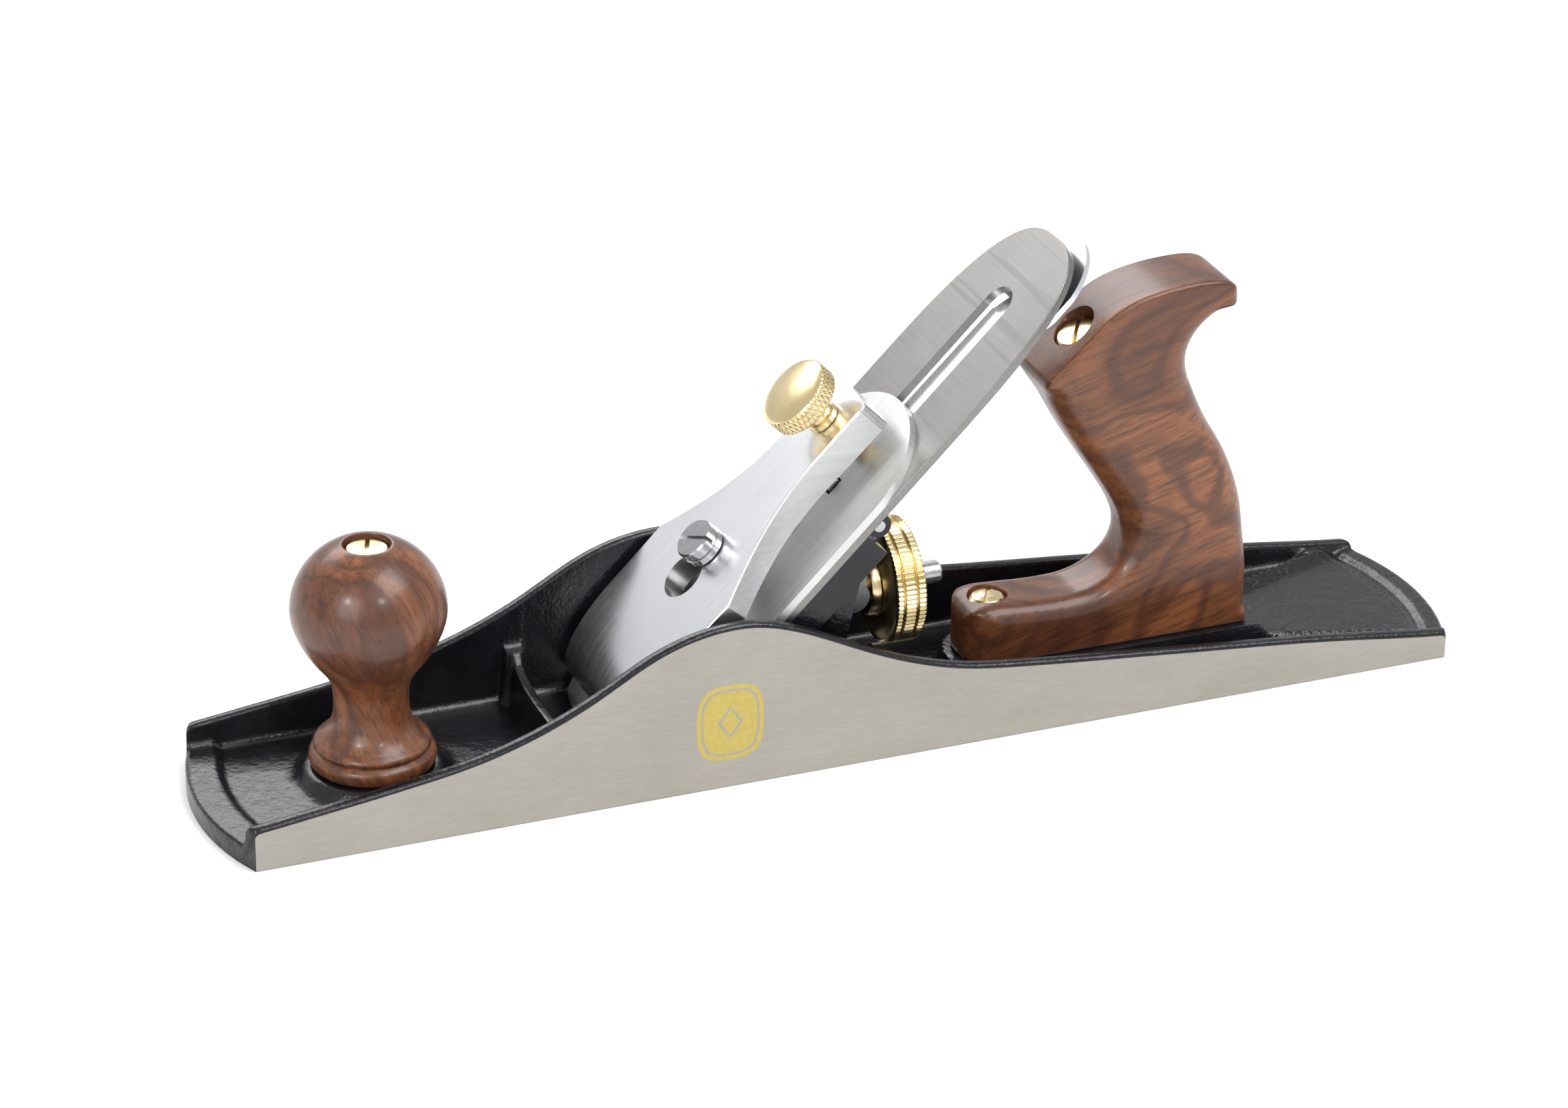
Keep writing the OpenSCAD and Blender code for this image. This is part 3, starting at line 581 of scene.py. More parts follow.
def wall_chain(x, top):
    """Section of the left wall from the bottom corner up, over the rim and down to the floor."""
    half = BODY_W / 2 - MARK_PROUD
    shoulder = top - RIM_R
    chain = [(half - 0.25, 0.0), (half, 0.25), (half, 0.6 * top), (half, shoulder)]
    for k in range(1, 6):
        a = math.pi / 2 * k / 5
        chain.append((half - RIM_R * (1 - math.cos(a)), shoulder + RIM_R * math.sin(a)))
    for k in range(6):
        a = math.pi / 2 * k / 5
        chain.append((INNER_Y + RIM_R - RIM_R * math.sin(a), shoulder + RIM_R * math.cos(a)))
    base = floor_height(x, FLOOR_EDGE_Y)
    fillet = min(FLOOR_FILLET, max(0.3, (shoulder - base) * 0.7))
    for k in range(1, 4):
        z = shoulder + (base + fillet - shoulder) * k / 4
        chain.append((INNER_Y - WALL_DRAFT * k / 4, z))
    for k in range(6):
        a = math.pi / 2 * k / 5
        run = WALL_DRAFT + (FLOOR_FILLET - WALL_DRAFT) * (1 - math.cos(a))
        chain.append((INNER_Y - run, base + fillet * (1 - math.sin(a))))
    return chain


END_ROUND = 1.6
END_DROP = 0.6
CORNER = 0.25
NEAR = 0.01
OUTSIDE_FACES = 3
JAPANNED_FACE, GROUND_FACE = 0, 1


def stations():
    """Where the casting's cross sections lie, closer together where the floor or an end turns."""
    end = BODY_L / 2
    return steps(-end, (-end + END_ROUND, 0.4), (-end + 13, 0.8), (-125, 1.4), (-118, 0.7),
                 (-48, 2.0), (-30, 0.9), (-10, 1.5), (-1, 0.7), (MOUTH_REAR_TOP_X, 3.0),
                 (MOUTH[0], 2.2), (MOUTH[1], 2.1), (76.5, 1.2), (78.3, 0.6), (84.7, 0.4),
                 (87, 0.6), (106, 1.6), (153, 1.0), (end - 13, 1.4), (end - END_ROUND, 0.8),
                 (end, 0.4))


def skin_row(x, floor_ys):
    """One cross section, from the right wall's foot over the floor to the left wall's foot."""
    past = max(0.0, abs(x) - BODY_L / 2 + END_ROUND)
    drop = END_ROUND * (1 - math.sqrt(max(0.0, 1 - (past / END_ROUND) ** 2))) * END_DROP
    top = hermite(WALL_KEYS, plan_x(x, BODY_W / 2))
    wall = wall_chain(plan_x(x, INNER_Y), top)[:-1]
    row = [(-y, z) for y, z in wall]
    row += [(y, floor_height(plan_x(x, y), y)) for y in floor_ys]
    row += list(reversed(wall))
    return [(plan_x(x, y), y, max(0.0, z - (drop if z > 2.0 else 0.0))) for y, z in row]


class Casting:
    """The casting's mesh: a skin of cross sections, over a sole with the same stations."""

    def __init__(self):
        self.xs = stations()
        half_ys = steps(0.0, (5, 1.25), (8, 0.6), (12, 1.0), (16, 0.5), (FLOOR_EDGE_Y, 0.9))
        floor_ys = [-y for y in reversed(half_ys[1:])] + half_ys
        rows = [skin_row(x, floor_ys) for x in self.xs]
        columns = [-BODY_W / 2 + CORNER] + floor_ys + [BODY_W / 2 - CORNER]
        self.floor_count = len(floor_ys)
        self.skin_count = len(rows[0])
        self.wall_count = (self.skin_count - self.floor_count) // 2
        self.sole_count = len(columns)
        self.verts = [Vector(p) * MM for row in rows for p in row]
        self.base = len(self.verts)
        for x in self.xs:
            self.verts += [Vector((plan_x(x, y), y, 0.0)) * MM for y in columns]
        self.faces = []
        self.slots = []

    def add(self, face, slot):
        self.faces.append(face)
        self.slots.append(slot)

    def skin(self):
        """Walls, rims and floor, open over the mouth. The walls' outsides are ground."""
        n = self.skin_count
        for i in range(len(self.xs) - 1):
            by_mouth = (MOUTH_REAR_TOP_X - NEAR < self.xs[i]
                        and self.xs[i + 1] < MOUTH[1] + NEAR)
            for j in range(n - 1):
                a = i * n + j
                face = (a, a + 1, a + 1 + n, a + n)
                middle_y = sum(self.verts[k].y for k in face) / 4 / MM
                ground = min(j, n - 2 - j) < OUTSIDE_FACES
                if ground or not by_mouth or abs(middle_y) >= FLOOR_EDGE_Y:
                    self.add(face, GROUND_FACE if ground else JAPANNED_FACE)

    def sole(self):
        """The flat underside, open at the mouth."""
        m = self.sole_count
        for i in range(len(self.xs) - 1):
            by_mouth = MOUTH[0] - NEAR < self.xs[i] and self.xs[i + 1] < MOUTH[1] + NEAR
            for j in range(m - 1):
                a = self.base + i * m + j
                if not (by_mouth and 1 <= j < m - 2):
                    self.add((a, a + m, a + m + 1, a + 1), GROUND_FACE)

    def nearest(self, value):
        return min(range(len(self.xs)), key=lambda k: abs(self.xs[k] - value))

    def mouth(self):
        """The four walls of the mouth, between the floor and the sole."""
        n, m, base, side = self.skin_count, self.sole_count, self.base, self.wall_count
        rear_top = self.nearest(MOUTH_REAR_TOP_X)
        rear_low = self.nearest(MOUTH[0])
        front = self.nearest(MOUTH[1])
        for k in range(self.floor_count - 1):
            t, b = side + k, 1 + k
            self.add((rear_top * n + t, rear_top * n + t + 1, base + rear_low * m + b + 1,
                      base + rear_low * m + b), JAPANNED_FACE)
            self.add((front * n + t + 1, front * n + t, base + front * m + b,
                      base + front * m + b + 1), JAPANNED_FACE)
        for t, b in ((side, 1), (side + self.floor_count - 1, m - 2)):
            ring = [k * n + t for k in range(rear_top, front + 1)]
            ring += [base + k * m + b for k in range(front, rear_low - 1, -1)]
            self.add(tuple(ring), JAPANNED_FACE)

    def ends(self):
        """The toe's and the heel's end faces."""
        n, m, side = self.skin_count, self.sole_count, self.wall_count
        for i in (0, len(self.xs) - 1):
            low = [self.base + i * m + k for k in range(m)]
            high = [i * n + j for j in range(n)]
            for k in range(self.floor_count - 1):
                self.add((low[k + 1], low[k + 2], high[side + k + 1], high[side + k]),
                         JAPANNED_FACE)
            right = [high[j] for j in range(side, 0, -1)]
            left = [high[j] for j in range(n - side - 1, n - 1)]
            self.add(tuple([low[0], low[1]] + right), JAPANNED_FACE)
            self.add(tuple([low[m - 1], low[m - 2]] + left), JAPANNED_FACE)


def casting():
    made = Casting()
    made.skin()
    made.sole()
    made.mouth()
    made.ends()
    return piece("plane_body_casting", made.verts, made.faces, [JAPAN, GROUND], "plane_body",
                 ["plane_body"], sharp=40, face_slots=made.slots)


def superellipse(half_w, half_h, count, power=3.2):
    """A rounded box at power 3.2, a diamond at power 1."""
    points = []
    for k in range(count):
        a = 2 * math.pi * k / count
        c, s = math.cos(a), math.sin(a)
        points.append((math.copysign(abs(c) ** (2 / power), c) * half_w,
                       math.copysign(abs(s) ** (2 / power), s) * half_h))
    return points


MARK_X = 41.4
MARK_Z = 19.3


def badge():
    """A plain printed mark on the left side: a rounded gold field, a bare line and a diamond."""
    paint = Shader("badge_gold")
    paint.set(Metallic=0.35, Roughness=0.45)
    speckle = paint.noise(900, 2)
    paint.link(paint.ramp(speckle, [(0.3, (0.43, 0.335, 0.085)), (0.7, (0.47, 0.37, 0.10))]),
               paint.bsdf.inputs["Base Color"])
    near, far = BODY_W / 2, BODY_W / 2 - 2 * MARK_PROUD
    verts, faces = [], []

    def band(outer, inner):
        count = len(outer)
        start = len(verts)
        for y in (near, far):
            for ring in (outer, inner):
                verts.extend(Vector((MARK_X - u, y, MARK_Z + v)) * MM for u, v in ring)
        for k in range(count):
            a, b = k, (k + 1) % count
            o, i = start, start + count
            oo, ii = start + 2 * count, start + 3 * count
            faces.extend([(o + a, o + b, i + b, i + a), (oo + a, ii + a, ii + b, oo + b),
                          (o + a, oo + a, oo + b, o + b), (i + a, i + b, ii + b, ii + a)])

    count = 64
    band(superellipse(9.4, 11.0, count), superellipse(8.2, 9.8, count))
    field = superellipse(7.6, 9.2, count)
    diamond = superellipse(3.6, 4.8, count, 1.0)
    band(field, diamond)
    band(superellipse(2.6, 3.8, count, 1.0), superellipse(0.02, 0.02, count, 1.0))
    return piece("side_badge", verts, faces, [paint.material], "plane_body",
                 sharp=30)


# ---------- handles ----------


KNOB_R = 20.5
KNOB_BALL_Z = 44.8
KNOB_DOME = 19.9
KNOB_NUT_R = 6.2


def knob():
    foot = [(0.01, 0.0), (14.6, 0.0), (15.4, 0.15), (16.1, 0.6), (16.6, 1.3), (16.85, 2.3),
            (16.85, 3.2), (16.6, 4.1), (16.0, 4.8), (15.35, 5.1), (15.05, 5.35), (15.2, 5.7),
            (15.55, 6.05), (15.6, 6.6), (15.3, 7.2), (14.7, 7.8)]
    neck_keys = [(8.2, 14.0, -1.15), (19.5, 9.95, 0.0), (26.5, 11.6, 0.6), (30, 14.2, 0.78),
                 (36, 18.0, 0.48), (KNOB_BALL_Z, KNOB_R, 0.0)]
    neck = [(hermite(neck_keys, h), h) for h in steps(8.2, (KNOB_BALL_Z, 0.7))]
    dome = [(KNOB_R * math.cos(a), KNOB_BALL_Z + KNOB_DOME * math.sin(a))
            for a in (math.radians(2.4 * k) for k in range(1, 30))]
    rim = [(6.75, 63.5), (6.45, 63.45), (6.25, 63.1), (KNOB_NUT_R, 62.6), (KNOB_NUT_R, 60.0),
           (0.01, 60.0)]
    verts, faces = lathe(foot + neck + dome + rim, upright(KNOB_X, KNOB_Z), 128)
    return piece("front_knob_turned", verts, faces, [KNOB_WOOD], "plane_body",
                 ["front_knob"], sharp=50)


TOTE_W = 22.0
TOTE_FRONT = [(-36.2, 11.4), (-36.1, 18.0), (-36.6, 22.4), (-38.6, 25.4), (-43.0, 26.8),
              (-50.0, 26.6), (-57.0, 26.1), (-64.0, 25.9), (-71.0, 26.4), (-77.0, 28.6),
              (-81.4, 32.6), (-83.4, 37.8), (-83.4, 43.2), (-81.0, 49.4), (-76.8, 56.4),
              (-72.2, 63.4), (-67.6, 70.4), (-63.6, 77.0), (-60.2, 83.2), (-57.4, 88.2),
              (-56.2, 91.0)]
TOTE_TOP = [(-56.6, 92.2), (-61.0, 96.2), (-66.0, 100.6), (-71.0, 105.2), (-75.2, 108.8),
            (-80.5, 111.6), (-86.8, 113.4), (-94.0, 114.5), (-101.0, 114.9), (-105.6, 114.7),
            (-109.2, 113.8), (-111.8, 111.9), (-112.8, 109.4), (-112.4, 107.3),
            (-111.4, 106.4), (-109.4, 105.8), (-106.2, 104.2), (-103.2, 101.6),
            (-101.2, 98.4), (-100.0, 94.6), (-99.7, 90.4), (-100.6, 86.0), (-102.6, 81.0),
            (-104.8, 76.0), (-107.6, 70.6), (-110.4, 66.0), (-113.0, 61.2), (-115.2, 56.2),
            (-117.2, 50.4), (-118.6, 44.6), (-119.4, 38.0), (-119.8, 31.0), (-120.0, 24.0),
            (-120.0, 12.2)]


def smooth_outline(points, spacing):
    """A Catmull-Rom curve through the points, with an even spacing."""
    fine = []
    for i in range(len(points) - 1):
        p0 = points[max(0, i - 1)]
        p1, p2 = points[i], points[i + 1]
        p3 = points[min(len(points) - 1, i + 2)]
        for k in range(12):
            u = k / 12
            fine.append(tuple(
                0.5 * (2 * p1[c] + (p2[c] - p0[c]) * u
                       + (2 * p0[c] - 5 * p1[c] + 4 * p2[c] - p3[c]) * u * u
                       + (3 * p1[c] - p0[c] - 3 * p2[c] + p3[c]) * u ** 3)
                for c in (0, 1)))
    fine.append(points[-1])
    out = [fine[0]]
    for p in fine[1:]:
        if math.dist(p, out[-1]) >= spacing:
            out.append(p)
    return out


def nearest_on(outline, x, z):
    """Distance from a point to a closed outline, and the place along it that is nearest."""
    best, place = 1e9, 0.0
    n = len(outline)
    for i in range(n):
        ax, az = outline[i]
        bx, bz = outline[(i + 1) % n]
        dx, dz = bx - ax, bz - az
        k = min(1.0, max(0.0, ((x - ax) * dx + (z - az) * dz) / (dx * dx + dz * dz)))
        gap = math.hypot(x - ax - k * dx, z - az - k * dz)
        if gap < best:
            best, place = gap, i + k
    return best, place


def inside_outline(outline, x, z):
    odd = False
    for i in range(len(outline)):
        ax, az = outline[i - 1]
        bx, bz = outline[i]
        if (az > z) != (bz > z) and x < ax + (z - az) * (bx - ax) / (bz - az):
            odd = not odd
    return odd


def round_at(x, z):
    """Radius of the tote's rounded edge at a place on its outline."""
    if z < 13:
        return 0.6
    top = z > 91.5 and x > -112.2 and not (z < 105.5 and x < -99)
    if top:
        return 1.4
    foot = ease(40.0, 26.0, z)
    grip = 9.2 if x > -95 else 8.2
    if z > 84:
        grip *= 1 - 0.78 * ease(84, 92, z) if x > -95 else 1 - 0.45 * ease(92, 106, z)
    return grip * (1 - foot) + 5.4 * foot


FOOT_Z = 10.5
INSETS = (0.12, 0.35, 0.7, 1.2, 1.9, 2.8, 3.9, 5.2, 6.8, 8.6)
GRID_GAP = 9.2


def tote_outline():
    """The tote's closed outline seen from the side, with its flat foot last."""
    outline = smooth_outline(TOTE_FRONT, 0.8) + smooth_outline(TOTE_TOP, 0.8)
    outline += [(-119.6, 11.0), (-118.6, FOOT_Z)]
    outline += [(-118.6 + 2.0 * k, FOOT_Z) for k in range(1, 41)]
    return outline + [(-37.0, FOOT_Z)]


def edge_radii(outline):
    """Radius of the rounded edge at each point of the outline, evened out along it."""
    radii = [round_at(x, z) for x, z in outline]
    n = len(radii)
    for _ in range(5):
        radii = [(radii[i - 1] + 2 * radii[i] + radii[(i + 1) % n]) / 4 for i in range(n)]
    return radii


def clear_of(points, point, step):
    gap = 0.45 * min(step, 1.2)
    return all((point - other).length > gap for other in points[-3:])


def face_points(outline):
    """Points for the tote's side: its outline, rows that follow it inwards, and a grid."""
    n = len(outline)
    points = [Vector(p) for p in outline]
    for step in INSETS:
        for i in range(n):
            a, b = outline[i - 1], outline[(i + 1) % n]
            length = math.dist(a, b)
            nx, nz = -(b[1] - a[1]) / length, (b[0] - a[0]) / length
            x, z = outline[i][0] + nx * step, outline[i][1] + nz * step
            fits = inside_outline(outline, x, z) and nearest_on(outline, x, z)[0] >= 0.93 * step
            if fits and clear_of(points, Vector((x, z)), step):
                points.append(Vector((x, z)))
    for x in range(-119, -36, 2):
        for z in range(12, 115, 2):
            if inside_outline(outline, x, z) and nearest_on(outline, x, z)[0] > GRID_GAP:
                points.append(Vector((x, z)))
    return points


def half_thickness(outline, radii, point):
    """Half the tote's thickness at a place on its side: rounded at the edge and the foot's front."""
    half = TOTE_W / 2
    gap, place = nearest_on(outline, point.x, point.y)
    i = int(place) % len(outline)
    r = radii[i] + (radii[(i + 1) % len(outline)] - radii[i]) * (place - int(place))
    edge = min(1.0, gap / r)
    rounded = half - r + r * math.sqrt(max(0.0, 1 - (1 - edge) ** 2))
    ahead = max(0.0, point.x - FOOT_ROUND_X)
    return min(rounded, math.sqrt(max(0.05, half ** 2 - ahead ** 2)))


def two_sided(faces, count):
    """The faces, their mirror images count points later, and the strip that joins the two."""
    made = [tuple(f) for f in faces] + [tuple(k + count for k in reversed(f)) for f in faces]
    rim = {}
    for f in faces:
        for a, b in zip(f, f[1:] + f[:1]):
            rim[(a, b)] = rim.get((a, b), 0) + 1
    return made + [(b, a, a + count, b + count) for a, b in rim if (b, a) not in rim]


def tote():
    outline = tote_outline()
    radii = edge_radii(outline)
    n = len(outline)
    ring = [(i, (i + 1) % n) for i in range(n)]
    flat, _, faces, _, _, _ = delaunay_2d_cdt(face_points(outline), ring, [], 1, 1e-5)
    depths = [half_thickness(outline, radii, p) for p in flat]
    verts = []
    for side in (1, -1):
        verts += [Vector((p.x, side * y, p.y)) * MM for p, y in zip(flat, depths)]
    obj = piece("tote_shaped", verts, two_sided(faces, len(flat)), [TOTE_WOOD], "plane_body",
                ["tote"], sharp=48)
    carve(obj, tote_holes())
    soften(obj, 42)
    even_shading(obj, 50)
    return obj


ROD_LEAN = math.radians(24.7)
ROD_TOP = (-68.7, 102.5)
TOTE_NUT_R = 6.4
TOE_SCREW_X = -45.5
TOE_SCREW_R = 5.6


def along_rod(x, y, h):
    """h up the tote's rod from its top, x and y across it."""
    c, s = math.cos(ROD_LEAN), math.sin(ROD_LEAN)
    return Vector(((ROD_TOP[0] + x * c + h * s), y, ROD_TOP[1] - x * s + h * c)) * MM


def tote_holes():
    nut = round_hole(along_rod, TOTE_NUT_R, -6.1, 30)
    screw = round_hole(upright(TOE_SCREW_X, 0), TOE_SCREW_R, 24.7, 40)
    return [nut, screw]


# ---------- irons and lever cap ----------

IRON_TOP_S = EDGE_S + IRON_L
IRON_ROUND_S = 125
IRON_SLOT = (53, 165)
IRON_SLOT_R = 5.7
IRON_KEYHOLE_R = 9
GRIND = math.radians(25)


def iron_half(s):
    """Half the iron's width: straight, then narrowing to a round top."""
    u = max(0.0, min(1.0, (s - IRON_ROUND_S) / (IRON_TOP_S - IRON_ROUND_S)))
    return IRON_W / 2 * max(0.0, 1 - u ** 3) ** (1 / 2.8)


def cutting_iron():
    ss = [EDGE_S, 30, 60, 90, 110]
    ss += [IRON_ROUND_S + (IRON_TOP_S - IRON_ROUND_S) * math.sin(math.pi / 2 * k / 60)
           for k in range(61)]
    right = [(s, iron_half(s)) for s in ss]
    left = [(s, -y) for s, y in reversed(right[:-1])]
    outline = right + left
    bevel = IRON_T / math.tan(GRIND)
    top = [bed(s, y, 0) for s, y in outline]
    low = [bed(s + (bevel if s == EDGE_S else 0), y, -IRON_T) for s, y in outline]
    verts, faces = loft([low, top])
    obj = piece("cutting_iron_ground", verts, faces, [IRON_STEEL], "irons",
                ["cutting_iron"])
    round_edges(obj, 0.35, 2)
    slot = long_hole(IRON_SLOT[0], IRON_SLOT[1] - IRON_SLOT_R, IRON_SLOT_R, -6, 3)
    carve(obj, [slot, round_hole(out_of_bed(IRON_SLOT[0]), IRON_KEYHOLE_R, -6, 3)])
    tidy_normals(obj)
    soften(obj, 50)
    even_shading(obj)
    return obj


HUMP_S0 = EDGE_S + 1
HUMP_S1 = 34.0
CAP_T = 2.2
CAP_ROUND_S = 98
CAP_ROUND_R = IRON_W / 2
YOKE_SLOT = (92.4, 97.6)


def hump_under(s):
    """Underside of the cap iron: a hump behind its edge, then flat on the iron."""
    if s >= HUMP_S1:
        return 0.0
    u = max(0.0, (s - HUMP_S0) / (HUMP_S1 - HUMP_S0))
    return 3 * math.sin(math.pi * u ** 0.6) ** 2


def hump_over(s):
    return hump_under(s) + min(CAP_T, 0.9 * (s - HUMP_S0))


def cap_iron():
    ss = [HUMP_S0 + (HUMP_S1 - HUMP_S0) * (k / 60) ** 1.4 for k in range(61)]
    ss += steps(HUMP_S1, (CAP_ROUND_S, 4.0))[1:]
    ss += [CAP_ROUND_S + CAP_ROUND_R * math.sin(math.pi / 2 * k / 60) for k in range(1, 60)]

    def half(s):
        past = max(0.0, s - CAP_ROUND_S)
        return math.sqrt(max(0.01, CAP_ROUND_R ** 2 - past ** 2))

    rings = []
    for s in ss:
        w, low, top = half(s), hump_under(s) + 0.01, hump_over(s)
        top = max(top, low + 0.04)
        rings.append([bed(s, -w, low), bed(s, -w, top), bed(s, -w / 2, top), bed(s, 0, top),
                      bed(s, w / 2, top), bed(s, w, top), bed(s, w, low), bed(s, 0, low)])
    verts, faces = loft(rings)
    obj = piece("cap_iron_curved", verts, faces, [CAP_STEEL], "irons",
                ["cap_iron"])
    scribed_line = box_hole(100.4, 100.75, 7, CAP_T - 0.12, 9, 11)
    carve(obj, [long_hole(57.5, 63.5, 4.5, -3, 9), box_hole(*YOKE_SLOT, 4.5, -3, 9),
                scribed_line])
    tidy_normals(obj)
    soften(obj, 40)
    even_shading(obj)
    return obj


def box_hole(s0, s1, half, low, high, middle=0.0):
    """A square-cornered hole through the bed's planes."""
    corners = [(s0, middle - half), (s1, middle - half), (s1, middle + half),
               (s0, middle + half)]
    return bare("box", *loft([[bed(s, y, t) for s, y in corners] for t in (low, high)]))


LEVER_FACE = 16.4
LEVER_W = 51.0
WAIST_W = 20.6
WAIST_S = 96
SHOULDER_S = 55
LEVER_TOP_S = 118.0
LEVER_END_R = 2.4
KEYHOLE_S = 51
KEYHOLE_R = 6.7
THUMBSCREW_S = 107


def lever_half(s):
    """Half the lever cap's width, from its shoulders in to its waist."""
    k = max(0.0, min(1.0, (WAIST_S - s) / (WAIST_S - SHOULDER_S)))
    return WAIST_W / 2 + (LEVER_W - WAIST_W) / 2 * k ** 1.8


def lever_top(s):
    nose = [(8.6, 8.2, 3.0), (10.8, 11.3, 1.0), (14, 13.1, 0.45), (20, 15.0, 0.24),
            (27.5, 16.1, 0.09), (34, LEVER_FACE, 0.0), (130, LEVER_FACE, 0.0)]
    return hermite(nose, s)


def lever_low(s):
    keys = [(8.4, 5.3, 0.0), (10.8, 5.4, 0.25), (15, 7.7, 0.5), (22, 9, 0.05), (73, 9, -0.03),
            (84, 8.2, -0.07), (94, 7.5, -0.06), (104, 7.1, -0.02), (130, 7.0, 0.0)]
    return hermite(keys, s)


def lever_ring(s):
    """One section across the lever cap, with rounded upper edges and a crowned end."""
    rim = 0.7
    top, low = lever_top(s), lever_low(s)
    w = lever_half(s)
    past = s - (LEVER_TOP_S - LEVER_END_R)
    if past > 0:
        w -= 1.2 * (1 - math.sqrt(max(0.0, 1 - (past / LEVER_END_R) ** 2)))
        w += 0.3
    ring = [(-w, low), (-w, (low + top) / 2), (-w, top - rim)]
    ring += [(-w + rim * (1 - math.cos(a)), top - rim + rim * math.sin(a))
             for a in (math.pi / 2 * k / 4 for k in range(1, 5))]
    ring += [(0.0, top)]
    ring += [(-y, t) for y, t in reversed(ring[:-1])]
    ring += [(0.0, low)]
    crown = 0.9 * ease(112, LEVER_TOP_S, s)
    return [bed(s - crown * (y / 10.5) ** 2, y, t) for y, t in ring]


def lever_cap():
    end_s = LEVER_TOP_S - LEVER_END_R
    rings = [lever_ring(s) for s in steps(8.6, (11, 0.3), (30, 0.8), (54.4, 2.5), (56, 0.3),
                                          (WAIST_S, 0.7), (end_s, 1.6), (LEVER_TOP_S, 0.3))]
    n = len(rings[0])
    verts, faces = loft(rings)
    walls = (len(rings) - 1) * n
    brushed = (0, 1, n - 3, n - 4)
    slots = [1 if index % n in brushed and index < walls else 0 for index in range(len(faces))]
    obj = piece("lever_cap_cast", verts, faces, [NICKEL, BAND_STEEL], "lever_cap",
                ["lever_cap"], sharp=40, face_slots=slots)
    carve(obj, [round_hole(out_of_bed(KEYHOLE_S), KEYHOLE_R, 0, 30),
                long_hole(KEYHOLE_S, 60.5, 3.6, 0, 30),
                round_hole(out_of_bed(THUMBSCREW_S), 3.3, 0, 30)])
    soften(obj, 38)
    even_shading(obj)
    return obj


THUMB_GRIP_R = 10.4
THUMB_KNURLS = 44


def thumbscrew():
    t = LEVER_FACE
    body = [(0.01, 2.35), (2.4, 2.35), (3.1, 3.0), (3.2, t + 0.1), (4.6, t + 0.15),
            (4.9, t + 0.4), (4.9, t + 1.9), (4.6, t + 2.2), (4.1, t + 2.4), (4.0, t + 3.0),
            (4.1, t + 3.8), (4.7, t + 4.1), (5.0, t + 4.3), (5.0, t + 5.3), (5.4, t + 5.7),
            (6.6, t + 6.2), (8.2, t + 6.7), (9.6, t + 7.2), (10.0, t + 7.5)]
    grip = [(THUMB_GRIP_R, t + 7.9 + 0.3 * k) for k in range(16)]
    crown = [(10.1, t + 12.8), (9.7, t + 13.1), (8.9, t + 13.4), (7.4, t + 13.8),
             (5.2, t + 14.1), (2.6, t + 14.3), (0.01, t + 14.35)]

    def knurl(r, h, a):
        if r < THUMB_GRIP_R:
            return r
        turn = a * THUMB_KNURLS / (2 * math.pi)
        lean = (h - t) * 0.28
        right = abs(((turn + lean) % 1.0) * 2 - 1)
        left = abs(((turn - lean) % 1.0) * 2 - 1)
        return r - 0.34 * max(1 - 2.4 * min(right, left), 0.0)

    verts, faces = lathe(body + grip + crown, out_of_bed(THUMBSCREW_S), 264, knurl)
    return piece("lever_cap_thumbscrew_knurled", verts, faces, [BRASS], "lever_cap_thumbscrew",
                 ["lever_cap_thumbscrew"], sharp=30)


WHEEL_R = 17.2
WHEEL_KNURLS = 80
WHEEL_COUNT = WHEEL_KNURLS * 5


def depth_wheel():
    back = -20.5
    profile = [(3.15, 1.25), (4.6, 1.25), (4.6, -8.05), (8.4, -8.05), (8.6, -8.2), (8.75, -8.6),
               (8.9, -9.6), (8.9, -10.6), (9.3, -10.95), (12.0, -11.3), (15.4, -11.75),
               (16.4, -11.95), (16.9, -12.3)]
    band = 8.5 / 5

    def knurled(a, b):
        rows = max(2, int(abs(b - a) / 0.28))
        return [(WHEEL_R, a + (b - a) * k / rows) for k in range(rows + 1)]

    def groove(a, b):
        return [(16.0, a - 0.1), (15.7, (a + b) / 2), (16.0, b + 0.1)]

    first = -12 - band
    second = (-12 - band * 1.6, -12 - band * 3.2)
    third = -12 - band * 3.8
    profile += knurled(-12.45, first) + groove(first, second[0]) + knurled(*second)
    profile += groove(second[1], third) + knurled(third, back + 0.35)
    profile += [(16.7, back), (15.6, back), (14.6, back + 0.5), (11.0, back + 0.7),
                (7.6, back + 0.6), (7.0, back + 0.2), (6.2, back), (3.9, back + 0.05),
                (3.15, back + 0.3)]

    def knurl(r, _height, a):
        if r < WHEEL_R:
            return r
        return r - 0.5 * abs(((a * WHEEL_KNURLS / (2 * math.pi)) % 1.0) * 2 - 1)

    n = WHEEL_COUNT
    verts, faces = lathe(profile, along_x(STUD_Z), n, knurl)
    # the two end caps give way to a bore
    faces = faces[:-2]
    last = (len(profile) - 1) * n
    faces += [(k, (k + 1) % n, last + (k + 1) % n, last + k) for k in range(n)]
    return piece("depth_wheel_knurled", verts, faces, [BRASS], "depth_wheel",
                 ["depth_wheel"], sharp=32)


# ---------- looks of the CAD nodes that stay ----------

